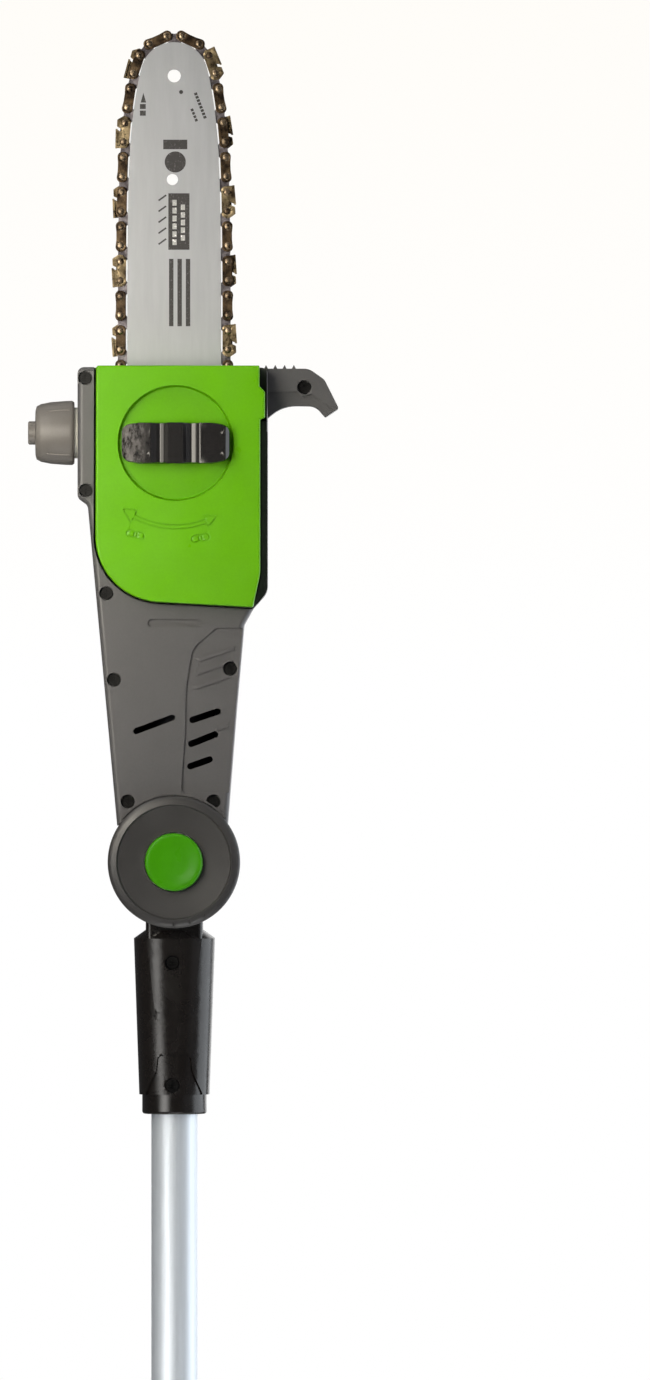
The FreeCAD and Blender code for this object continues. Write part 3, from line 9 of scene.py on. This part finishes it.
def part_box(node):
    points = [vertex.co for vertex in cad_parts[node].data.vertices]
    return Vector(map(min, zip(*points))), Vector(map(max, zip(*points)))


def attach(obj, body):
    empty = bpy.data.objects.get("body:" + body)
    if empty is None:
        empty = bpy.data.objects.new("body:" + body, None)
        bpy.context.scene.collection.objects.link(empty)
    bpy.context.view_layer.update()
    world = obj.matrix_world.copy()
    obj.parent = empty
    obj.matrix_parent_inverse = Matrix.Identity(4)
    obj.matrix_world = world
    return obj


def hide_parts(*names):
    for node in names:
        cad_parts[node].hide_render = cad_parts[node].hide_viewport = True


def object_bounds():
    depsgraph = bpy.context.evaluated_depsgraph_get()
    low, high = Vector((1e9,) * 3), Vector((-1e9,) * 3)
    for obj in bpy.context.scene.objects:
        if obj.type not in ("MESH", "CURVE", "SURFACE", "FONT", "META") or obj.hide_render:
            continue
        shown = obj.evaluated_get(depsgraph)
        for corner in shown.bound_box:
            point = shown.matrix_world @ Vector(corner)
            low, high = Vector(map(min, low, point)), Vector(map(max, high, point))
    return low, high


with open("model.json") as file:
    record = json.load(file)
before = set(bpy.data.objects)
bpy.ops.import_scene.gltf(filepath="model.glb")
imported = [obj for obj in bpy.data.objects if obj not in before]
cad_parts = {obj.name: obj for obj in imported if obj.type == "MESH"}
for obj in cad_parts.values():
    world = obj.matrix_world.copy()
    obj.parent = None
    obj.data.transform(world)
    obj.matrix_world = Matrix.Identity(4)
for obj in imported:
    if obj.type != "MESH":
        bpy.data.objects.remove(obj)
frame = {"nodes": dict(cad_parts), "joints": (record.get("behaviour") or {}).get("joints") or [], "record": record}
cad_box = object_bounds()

MM = 0.001
NODES = frame["nodes"]
JOINTS = {joint["name"]: joint for joint in frame["joints"]}
PIVOT = Vector(JOINTS["head_tilt"]["pos_m"])
BAR_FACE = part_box("guide_bar")[0].y

# The main view: its height in pixels, its scale, its middle from the pivot and the camera's distance
PICTURE_HEIGHT = 1380
PIXELS_PER_METRE = 1824.0
PICTURE_CENTRE = Vector((0.0828, 0, 0.0943))
CAMERA_DISTANCE = 8.0

FLOOR_RADIUS = 1.0
FLOOR_GAP = 0.01
AMBIENT_STRENGTH = 0.09

# Printed marks: the ink's front and back in millimetres from the bar's face, and a dash's inked share
PRINT_STEP = 0.03
PRINT_BACK = 0.002
DASH_SHARE = 0.72


def add_object(name, data):
    item = bpy.data.objects.new(name, data)
    bpy.context.scene.collection.objects.link(item)
    return item


def mesh_from(name, shape):
    """Turns a bmesh into a mesh and frees it."""
    mesh = bpy.data.meshes.new(name)
    shape.to_mesh(mesh)
    shape.free()
    return mesh


# ---------------------------------------------------------------- material helpers


class Surface:
    """One node material: a Principled shader with noise on its colour, roughness and height."""

    def __init__(self, name, colour, roughness, metallic=0.0):
        self.material = bpy.data.materials.new(name)
        self.material.use_nodes = True
        self.nodes = self.material.node_tree.nodes
        self.links = self.material.node_tree.links
        self.shader = self.nodes["Principled BSDF"]
        self.shader.inputs["Metallic"].default_value = metallic
        self.shader.inputs["Roughness"].default_value = roughness
        self.shader.inputs["Base Color"].default_value = (*colour, 1.0)
        self.colour = colour
        self.roughness = roughness
        self.place = self.nodes.new("ShaderNodeTexCoord").outputs["Object"]
        self.height = None

    def noise(self, scale, detail=3.0, stretch=(1, 1, 1), rough=0.55):
        """Noise over the object, with scale in features per metre."""
        mapping = self.nodes.new("ShaderNodeMapping")
        mapping.inputs["Scale"].default_value = stretch
        self.links.new(self.place, mapping.inputs["Vector"])
        texture = self.nodes.new("ShaderNodeTexNoise")
        texture.inputs["Scale"].default_value = scale
        texture.inputs["Detail"].default_value = detail
        texture.inputs["Roughness"].default_value = rough
        self.links.new(mapping.outputs["Vector"], texture.inputs["Vector"])
        return texture.outputs["Fac"]

    def ramp(self, source, stops):
        """Colours, or greys as plain numbers, at places along a 0 to 1 source."""
        node = self.nodes.new("ShaderNodeValToRGB")
        points = node.color_ramp.elements
        while len(points) < len(stops):
            points.new(0.5)
        for point, (place, value) in zip(points, stops):
            point.position = place
            value = (value, value, value) if isinstance(value, (int, float)) else value
            point.color = (*value, 1.0)
        self.links.new(source, node.inputs["Fac"])
        return node.outputs["Color"]

    def mix(self, share, first, second, blend="MIX"):
        """Second over first, by a 0 to 1 share; each is a socket or a colour."""
        node = self.nodes.new("ShaderNodeMix")
        node.data_type = "RGBA"
        node.blend_type = blend
        for name, value in (("Factor", share), ("A", first), ("B", second)):
            kind = "VALUE" if name == "Factor" else "RGBA"
            socket = next(i for i in node.inputs if i.name == name and i.type == kind and i.enabled)
            if isinstance(value, bpy.types.NodeSocket):
                self.links.new(value, socket)
            elif name == "Factor":
                socket.default_value = value
            else:
                socket.default_value = (*value, 1.0)
        return next(o for o in node.outputs if o.enabled)

    def paint(self, source):
        self.links.new(source, self.shader.inputs["Base Color"])
        return self

    def gloss(self, source):
        self.links.new(source, self.shader.inputs["Roughness"])
        return self

    def bump(self, source, depth, strength=1.0):
        """Adds relief of a real depth in metres over what is there already."""
        node = self.nodes.new("ShaderNodeBump")
        node.inputs["Distance"].default_value = depth
        node.inputs["Strength"].default_value = strength
        self.links.new(source, node.inputs["Height"])
        if self.height is not None:
            self.links.new(self.height, node.inputs["Normal"])
        self.height = node.outputs["Normal"]
        self.links.new(self.height, self.shader.inputs["Normal"])
        return self

    def mottled(self, scale, spread, detail=3.0, stretch=(1, 1, 1)):
        """The base colour, a little darker and lighter in patches."""
        dark = tuple(c * (1 - spread) for c in self.colour)
        light = tuple(min(1.0, c * (1 + spread)) for c in self.colour)
        return self.ramp(self.noise(scale, detail, stretch), [(0.3, dark), (0.7, light)])

    def uneven_gloss(self, scale, spread, detail=3.0, stretch=(1, 1, 1)):
        """The base roughness, a little lower and higher in patches."""
        low = max(0.02, self.roughness - spread)
        high = self.roughness + spread
        return self.gloss(self.ramp(self.noise(scale, detail, stretch), [(0.3, low), (0.7, high)]))


def moulded_plastic(name, colour, roughness, grain_depth=0.00002, grain_scale=1400, shine=0.5):
    """Injection-moulded plastic: fine spark-eroded grain, faint flow marks and rubbed patches."""
    s = Surface(name, colour, roughness)
    s.shader.inputs["Specular IOR Level"].default_value = shine
    patches = s.mottled(28, 0.05)
    specks = s.ramp(s.noise(900, 2.0), [(0.35, 0.94), (0.7, 1.0)])
    s.paint(s.mix(1.0, patches, specks, "MULTIPLY"))
    s.uneven_gloss(60, 0.06)
    s.bump(s.noise(grain_scale, 2.0), grain_depth, 0.5)
    return s


def rubber(name, colour):
    """Dull rubber with a fine leathery grain."""
    s = Surface(name, colour, 0.75)
    s.paint(s.mottled(300, 0.18, 4.0))
    s.uneven_gloss(120, 0.1)
    s.bump(s.noise(1600, 4.0), 0.00008, 0.6)
    return s


def worked_metal(name, colour, roughness):
    """Plain machined or pressed metal, slightly patchy."""
    s = Surface(name, colour, roughness, 1.0)
    s.paint(s.mottled(300, 0.1, 4.0))
    s.uneven_gloss(300, 0.1, 4.0)
    s.bump(s.noise(900, 3.0), 0.00002, 0.4)
    return s


def anodised_tube(name):
    """Drawn aluminium tube with faint lines along its length."""
    s = Surface(name, (0.70, 0.745, 0.79), 0.5, 0.55)
    s.paint(s.mottled(500, 0.04, 4.0, (1, 1, 0.02)))
    s.uneven_gloss(600, 0.05, 4.0, (1, 1, 0.02))
    s.bump(s.noise(2500, 3.0, (1, 1, 0.01)), 0.000012, 0.5)
    return s


def bar_plate(name):
    """Ground steel plate with a thin clear lacquer."""
    s = Surface(name, (0.375, 0.385, 0.405), 0.5, 0.25)
    s.paint(s.mottled(220, 0.05, 5.0, (1, 1, 0.12)))
    s.uneven_gloss(400, 0.07, 5.0, (1, 1, 0.1))
    s.bump(s.noise(3000, 3.0, (1, 1, 0.05)), 0.00001, 0.5)
    return s


def oily_steel(name, dark, light, roughness, patch_scale=230):
    """Chain steel: blued and oiled, brown in patches with brighter rubbed places."""
    s = Surface(name, light, roughness, 1.0)
    patches = s.ramp(s.noise(patch_scale, 5.0), [(0.36, dark), (0.66, light)])
    s.paint(patches)
    s.uneven_gloss(500, 0.14, 4.0)
    s.bump(s.noise(1500, 4.0), 0.00004, 0.5)
    return s


def foam(name):
    """Closed-cell foam with open pores at the surface."""
    s = Surface(name, (0.028, 0.028, 0.03), 0.9)
    s.paint(s.mottled(700, 0.3, 4.0))
    s.bump(s.noise(900, 5.0), 0.00035, 0.8)
    return s


def knob_with_painted_highlight(name):
    """Glossy black nylon with a painted highlight: paler towards its left end, broken into streaks by noise."""
    # Painted highlight: a pale grey laid over the black, full at the knob's left end (lower X) and fading out
    # towards its middle
    black, highlight_colour = (0.012, 0.011, 0.011), (0.20, 0.185, 0.175)
    full_highlight_x, no_highlight_x = -0.026, -0.012
    s = Surface(name, black, 0.24)
    axes = s.nodes.new("ShaderNodeSeparateXYZ")
    s.links.new(s.place, axes.inputs["Vector"])
    highlight_reach = s.nodes.new("ShaderNodeMapRange")
    highlight_reach.inputs["From Min"].default_value = full_highlight_x
    highlight_reach.inputs["From Max"].default_value = no_highlight_x
    highlight_reach.inputs["To Min"].default_value = 1.0
    highlight_reach.inputs["To Max"].default_value = 0.0
    s.links.new(axes.outputs["X"], highlight_reach.inputs["Value"])
    highlight_streaks = s.ramp(s.noise(420, 6.0, (1, 1, 0.5), 0.7), [(0.38, 0.0), (0.66, 1.0)])
    # Painted highlight share: the left-end fade times the noise streaks; the pale colour and the higher roughness
    # follow it
    rubbed = s.mix(1.0, highlight_streaks, highlight_reach.outputs["Result"], "MULTIPLY")
    s.paint(s.mix(rubbed, black, highlight_colour))
    s.gloss(s.mix(rubbed, (0.2, 0.2, 0.2), (0.5, 0.5, 0.5)))
    s.bump(s.noise(700, 5.0), 0.00003, 0.5)
    return s


# ---------------------------------------------------------------- materials by slot

GREY = (0.085, 0.083, 0.086)
GREEN = (0.125, 0.42, 0.0006)

MATERIALS = {
    "grey_plastic": moulded_plastic("grey_plastic", GREY, 0.42),
    "green_plastic": moulded_plastic("green_plastic", GREEN, 0.33, 0.000012, 1800, 0.22),
    "black_gloss": moulded_plastic("black_gloss", (0.0075, 0.0055, 0.0045), 0.27, 0.000006, 900),
    "black_plastic": moulded_plastic("black_plastic", (0.022, 0.022, 0.024), 0.45),
    "battery_grey": moulded_plastic("battery_grey", (0.04, 0.04, 0.044), 0.4),
    "green_control": moulded_plastic("green_control", GREEN, 0.33),
    "trigger_plastic": moulded_plastic("trigger_plastic", (0.03, 0.03, 0.032), 0.38),
    "soft_rubber": rubber("soft_rubber", (0.018, 0.018, 0.019)),
    "foam_grip": foam("foam_grip"),
    "tube_aluminium": anodised_tube("tube_aluminium"),
    "bar_steel": bar_plate("bar_steel"),
    "chain_link_steel": oily_steel(
        "chain_link_steel", (0.020, 0.014, 0.010), (0.105, 0.072, 0.043), 0.40),
    "chain_cutter_steel": oily_steel(
        "chain_cutter_steel", (0.045, 0.032, 0.019), (0.30, 0.235, 0.14), 0.36, 120),
    "chain_rivet_steel": oily_steel("chain_rivet_steel", (0.06, 0.042, 0.028), (0.30, 0.23, 0.155), 0.32),
    "hardened_steel": worked_metal("hardened_steel", (0.42, 0.42, 0.43), 0.35),
    "black_screws": worked_metal("black_screws", (0.02, 0.02, 0.02), 0.4),
    "motor_steel": worked_metal("motor_steel", (0.06, 0.06, 0.065), 0.45),
    "white_nylon": moulded_plastic("white_nylon", (0.72, 0.72, 0.68), 0.45),
    "tank_plastic": moulded_plastic("tank_plastic", (0.62, 0.61, 0.54), 0.35),
    "cell_wrap": moulded_plastic("cell_wrap", (0.03, 0.10, 0.25), 0.3),
    "terminal_brass": worked_metal("terminal_brass", (0.70, 0.50, 0.20), 0.3),
    "cable_rubber": rubber("cable_rubber", (0.015, 0.015, 0.015)),
}

# Nodes whose finish differs a little from the rest of their slot
NODE_MATERIALS = {
    "pivot_disc_front": moulded_plastic("disc_plastic", (0.044, 0.042, 0.042), 0.36),
    "pivot_disc_rear": moulded_plastic("disc_plastic_rear", (0.044, 0.042, 0.042), 0.36),
    "oil_cap": moulded_plastic("cap_plastic", (0.14, 0.13, 0.12), 0.4),
    "cover_knob": knob_with_painted_highlight("knob_plastic"),
    "pivot_button": moulded_plastic(
        "button_plastic", (0.050, 0.30, 0.0006), 0.3, 0.000012, 1800, 0.25),
    "strap_clamp": moulded_plastic("strap_plastic", (0.020, 0.020, 0.021), 0.45),
    "chain_drive_links": oily_steel("drive_link_steel", (0.07, 0.062, 0.068), (0.22, 0.20, 0.215), 0.44),
}

# Edge rounding in millimetres for CAD nodes with sharp edges
EDGE_ROUNDING = {
    "housing_front": 0.35,
    "housing_rear": 0.35,
    "sprocket_cover": 0.3,
    "cover_knob": 0.5,
    "pivot_disc_front": 0.3,
    "pivot_disc_rear": 0.3,
    "pivot_button": 0.3,
    "oil_cap": 0.35,
    "neck_front": 0.35,
    "neck_rear": 0.35,
    "lock_collar": 0.4,
    "clamp_lever": 0.5,
    "strap_clamp": 0.4,
    "rear_handle_left": 0.4,
    "rear_handle_right": 0.4,
    "battery_case": 0.5,
    "battery_base": 0.5,
    "battery_latch": 0.3,
    "trigger": 0.4,
    "lock_off_button": 0.3,
    "handle_soft_grip": 0.4,
    # cover_seal is a black band round the sprocket cover's edge that stands in for the shadow gap beside the
    # cover: painted shadow
    "cover_seal": 0.25,
    "bar_mount_plate": 0.2,
    "chain_cutters": 0.1,
    "chain_tie_straps": 0.12,
    "chain_drive_links": 0.1,
    "chain_rivets": 0.12,
}


def round_edges(node, width):
    """Rounds a CAD node's sharp edges and keeps its flat faces flat in the shading."""
    weld = node.modifiers.new("weld", "WELD")
    weld.merge_threshold = 0.000005
    bevel = node.modifiers.new("edge_rounding", "BEVEL")
    bevel.width = width * MM
    bevel.segments = 2
    bevel.limit_method = "ANGLE"
    bevel.angle_limit = math.radians(38)
    bevel.use_clamp_overlap = True
    shading = node.modifiers.new("shading", "WEIGHTED_NORMAL")
    shading.keep_sharp = False


def dress_cad_nodes():
    """Gives every CAD node its finish, and rounds the edges of the nodes listed in EDGE_ROUNDING."""
    for row in frame["record"]["subparts"]:
        name = row["node"]
        node = NODES[name]
        surface = NODE_MATERIALS.get(name, MATERIALS[row["material_slot"]])
        node.data.materials.clear()
        node.data.materials.append(surface.material)
        if name in EDGE_ROUNDING:
            round_edges(node, EDGE_ROUNDING[name])


# ---------------------------------------------------------------- printed marks on the guide bar


def corners_of(x0, z0, x1, z1):
    return [(x0, z0), (x1, z0), (x1, z1), (x0, z1)]


def arc_points(x, z, radius, first, last, steps):
    points = []
    for index in range(steps + 1):
        angle = math.radians(first + (last - first) * index / steps)
        points.append((x + radius * math.cos(angle), z + radius * math.sin(angle)))
    return points


def slanted(x0, z0, x1, z1, width):
    """A straight stroke of one width from one point to the other."""
    run = Vector((x1 - x0, z1 - z0)).normalized() * (width / 2)
    side = Vector((-run.y, run.x))
    return [
        (x0 + side.x, z0 + side.y),
        (x0 - side.x, z0 - side.y),
        (x1 - side.x, z1 - side.y),
        (x1 + side.x, z1 + side.y),
    ]


def dashes(x0, z0, x1, z1, width, count):
    """A row of short dashes, as fine print looks from a distance."""
    start, end = Vector((x0, z0)), Vector((x1, z1))
    shapes = []
    for index in range(count):
        first = start.lerp(end, index / count)
        last = start.lerp(end, (index + DASH_SHARE) / count)
        shapes.append(slanted(first.x, first.y, last.x, last.y, width))
    return shapes


def print_on_bar(name, outlines, surface, lift):
    """Thin ink shapes on the bar's face, from outlines in millimetres from the pivot."""
    shape = bmesh.new()

    def place(point):
        return shape.verts.new((point[0] * MM, BAR_FACE - lift * MM, PIVOT.z + point[1] * MM))

    for outline in outlines:
        shape.faces.new([place(point) for point in outline])
    sides = bmesh.ops.extrude_face_region(shape, geom=list(shape.faces))
    lifted = [item for item in sides["geom"] if isinstance(item, bmesh.types.BMVert)]
    bmesh.ops.translate(shape, verts=lifted, vec=(0, (lift - PRINT_BACK) * MM, 0))
    bmesh.ops.recalc_face_normals(shape, faces=list(shape.faces))
    mesh = mesh_from(name, shape)
    mesh.materials.append(surface.material)
    piece = add_object(name, mesh)
    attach(piece, "bar")


def worn_ink(name, colour):
    """Screen-printed ink, paler where it has rubbed thin."""
    thin = tuple(c * 2.6 + 0.03 for c in colour)
    s = Surface(name, colour, 0.55)
    s.paint(s.ramp(s.noise(900, 5.0), [(0.30, thin), (0.42, colour)]))
    s.uneven_gloss(500, 0.08)
    s.bump(s.noise(2500, 2.0), 0.00001, 0.4)
    return s


def make_bar_print():
    """Plain blocks, stripes, dots and dashes, with no lettering, and pale gaps over the largest block."""
    ink = worn_ink("bar_ink", (0.030, 0.027, 0.028))
    pale = worn_ink("bar_ink_gaps", (0.42, 0.42, 0.41))
    filled = [
        corners_of(-3.2, 336, 8.4, 367),
        corners_of(-6, 391.2, 7.2, 396.4),
        arc_points(0.6, 384.2, 5.8, 0, 350, 35),
        arc_points(3.8, 422.6, 1.1, 0, 345, 24),
        [(-18.4, 416.8), (-15.4, 416.8), (-16.9, 422.2)],
        corners_of(-18.8, 409.6, -15.6, 412.4),
        corners_of(-18.8, 413.3, -15.6, 416.0),
        corners_of(-2.8, 294, -0.4, 331),
        corners_of(1.8, 294, 4.2, 331),
        corners_of(6.4, 294, 8.8, 331),
    ]
    filled += dashes(11.6, 422.2, 17.3, 407.6, 1.7, 8)
    filled += dashes(9.6, 413.4, 12.6, 406.0, 1.5, 4)
    for index in range(5):
        filled.append(slanted(-8.6, 339 + 6 * index, -4.4, 342 + 6 * index, 0.9))
    print_on_bar("bar_print", filled, ink, PRINT_STEP)
    gaps = dashes(0.2, 338.6, 0.2, 364.6, 2.3, 6) + dashes(4.8, 341, 4.8, 362, 2.3, 5)
    print_on_bar("bar_print_gaps", gaps, pale, PRINT_STEP * 1.6)


# ---------------------------------------------------------------- foam sleeve

SLEEVE_AROUND = 96
SLEEVE_ROWS = 72
ROLL_STEPS = 7
ROLL_LENGTH = 0.0045
BODY_START = 0.0100
END_INSET = 0.0035
BORE_GAP = 0.00005


def sleeve_profile(length, outer, bore):
    """Places along the sleeve with their radii, from the bore round one rolled end to the other."""
    roll = []
    for step in range(1, ROLL_STEPS):
        angle = math.pi * step / ROLL_STEPS
        roll.append((ROLL_LENGTH * (1 - math.cos(angle)), outer - 0.0030 + 0.0024 * math.sin(angle)))
    body = []
    for step in range(SLEEVE_ROWS + 1):
        share = step / SLEEVE_ROWS
        crown = math.sin(math.pi * share) ** 0.6
        body.append((BODY_START + (length - 2 * BODY_START) * share, outer - 0.0036 + 0.0021 * crown))
    far_roll = [(length - along, radius) for along, radius in reversed(roll)]
    start = [(0.0, bore), (0.0, outer - END_INSET)]
    end = [(length, outer - END_INSET), (length, bore)]
    return start + roll + body + far_roll + end


def make_foam_sleeve():
    """Closed foam sleeve with rolled ends and a slightly crowned, porous surface."""
    low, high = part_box("front_grip")
    outer = (high.x - low.x) / 2
    bore = (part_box("lower_tube")[1].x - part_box("lower_tube")[0].x) / 2 + BORE_GAP
    shape = bmesh.new()
    rings = []
    for along, radius in sleeve_profile(high.z - low.z, outer, bore):
        ring = []
        for index in range(SLEEVE_AROUND):
            angle = 2 * math.pi * index / SLEEVE_AROUND
            place = Vector((math.cos(angle) * radius, math.sin(angle) * radius, low.z + along))
            if radius > bore + 0.001:
                cells = noise.noise(place * 420) * 0.00016 + noise.noise(place * 60) * 0.00022
                place += Vector((math.cos(angle), math.sin(angle), 0)) * cells
            ring.append(shape.verts.new(place))
        rings.append(ring)
    rings.append(rings[0])
    for first, second in zip(rings, rings[1:]):
        for index in range(SLEEVE_AROUND):
            after = (index + 1) % SLEEVE_AROUND
            shape.faces.new([first[index], first[after], second[after], second[index]])
    bmesh.ops.recalc_face_normals(shape, faces=list(shape.faces))
    mesh = mesh_from("foam_sleeve", shape)
    mesh.materials.append(MATERIALS["foam_grip"].material)
    for polygon in mesh.polygons:
        polygon.use_smooth = True
    sleeve = add_object("foam_sleeve", mesh)
    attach(sleeve, "handle")
    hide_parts("front_grip")


# ---------------------------------------------------------------- stage, lights and camera


def make_floor():
    shape = bmesh.new()
    bmesh.ops.create_circle(shape, cap_ends=True, segments=96, radius=FLOOR_RADIUS)
    mesh = mesh_from("floor", shape)
    floor = add_object("floor", mesh)
    floor.location = (0, 0, cad_box[0].z - FLOOR_GAP)
    s = Surface("floor", (0.86, 0.85, 0.83), 0.8)
    s.paint(s.mottled(3, 0.01))
    mesh.materials.append(s.material)


def area_light(name, place, target, size, power, colour=(1, 1, 1), spread=180):
    data = bpy.data.lights.new(name, "AREA")
    data.spread = math.radians(spread)
    data.shape = "RECTANGLE"
    data.size, data.size_y = size
    data.energy = power
    data.color = colour
    light = add_object(name, data)
    light.location = place
    light.rotation_mode = "QUATERNION"
    light.rotation_quaternion = (Vector(target) - Vector(place)).to_track_quat("-Z", "Y")
    light.visible_camera = False


def make_world():
    """A studio that the camera sees as white, warm overhead, and that lights the object only faintly."""
    world = bpy.data.worlds.new("studio")
    world.use_nodes = True
    nodes = world.node_tree.nodes
    links = world.node_tree.links
    shown_light = nodes["Background"]
    place = nodes.new("ShaderNodeTexCoord")
    split = nodes.new("ShaderNodeSeparateXYZ")
    warmth = nodes.new("ShaderNodeValToRGB")
    warmth.color_ramp.elements[0].position = 0.0
    warmth.color_ramp.elements[0].color = (1.0, 1.0, 1.0, 1.0)
    warmth.color_ramp.elements[1].position = 0.13
    warmth.color_ramp.elements[1].color = (1.0, 0.945, 0.84, 1.0)
    links.new(place.outputs["Generated"], split.inputs["Vector"])
    links.new(split.outputs["Z"], warmth.inputs["Fac"])
    links.new(warmth.outputs["Color"], shown_light.inputs["Color"])
    shown_light.inputs["Strength"].default_value = 1.0
    ambient = nodes.new("ShaderNodeBackground")
    ambient.inputs["Color"].default_value = (0.93, 0.96, 1.0, 1.0)
    ambient.inputs["Strength"].default_value = AMBIENT_STRENGTH
    seen = nodes.new("ShaderNodeLightPath")
    choice = nodes.new("ShaderNodeMixShader")
    links.new(seen.outputs["Is Camera Ray"], choice.inputs["Fac"])
    links.new(ambient.outputs["Background"], choice.inputs[1])
    links.new(shown_light.outputs["Background"], choice.inputs[2])
    links.new(choice.outputs["Shader"], nodes["World Output"].inputs["Surface"])
    bpy.context.scene.world = world


def make_lights():
    head = PIVOT + Vector((0, 0, 0.12))
    left = PIVOT + Vector((-0.20, 0, 0.24))
    below = head + Vector((0, 0, -0.2))
    area_light("key", head + Vector((-0.85, -0.8, 1.15)), head, (0.8, 0.8), 6.0, (1.0, 0.965, 0.90))
    area_light("near_left", left + Vector((-0.16, -0.5, 0.05)), left, (0.5, 0.42), 1.3, (1.0, 0.94, 0.82), 75)
    area_light("fill", head + Vector((1.15, -1.15, 0.3)), head, (0.8, 1.2), 1.0, (0.92, 0.94, 1.0))
    area_light("right_wall", below + Vector((1.3, 0.2, 0)), below, (1.3, 2.0), 20, (0.90, 0.95, 1.0))
    area_light("low", PIVOT + Vector((0.1, -0.7, -0.9)), PIVOT + Vector((0, 0, 0.05)), (0.6, 0.4), 2.5)
    area_light("handle", (-0.9, -1.2, 0.6), (0, 0, 0.1), (1.0, 1.0), 5.5, (1.0, 0.98, 0.95), 55)
    area_light("back", (0.7, 1.6, 1.5), (0, 0, 0.9), (1.2, 2.2), 14)
    area_light("overhead", (0, 0, 3.6), (0, 0.01, 0), (3.4, 3.4), 22, (1.0, 0.99, 0.97))


def make_camera():
    """Long lens, square on to the cover, framed on the head, the neck and the top of the pole."""
    data = bpy.data.cameras.new("camera")
    height = PICTURE_HEIGHT / PIXELS_PER_METRE
    data.lens = data.sensor_width * CAMERA_DISTANCE / height
    camera = add_object("camera", data)
    middle = (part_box("sprocket_cover")[0].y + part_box("guide_bar")[0].y) / 2
    camera.location = (
        PIVOT.x + PICTURE_CENTRE.x,
        middle - CAMERA_DISTANCE,
        PIVOT.z + PICTURE_CENTRE.z,
    )
    camera.rotation_euler = (math.radians(90), 0, 0)
    bpy.context.scene.camera = camera


bpy.context.scene.view_settings.view_transform = "Standard"
make_camera()
dress_cad_nodes()
make_bar_print()
make_foam_sleeve()
make_floor()
make_world()
make_lights()
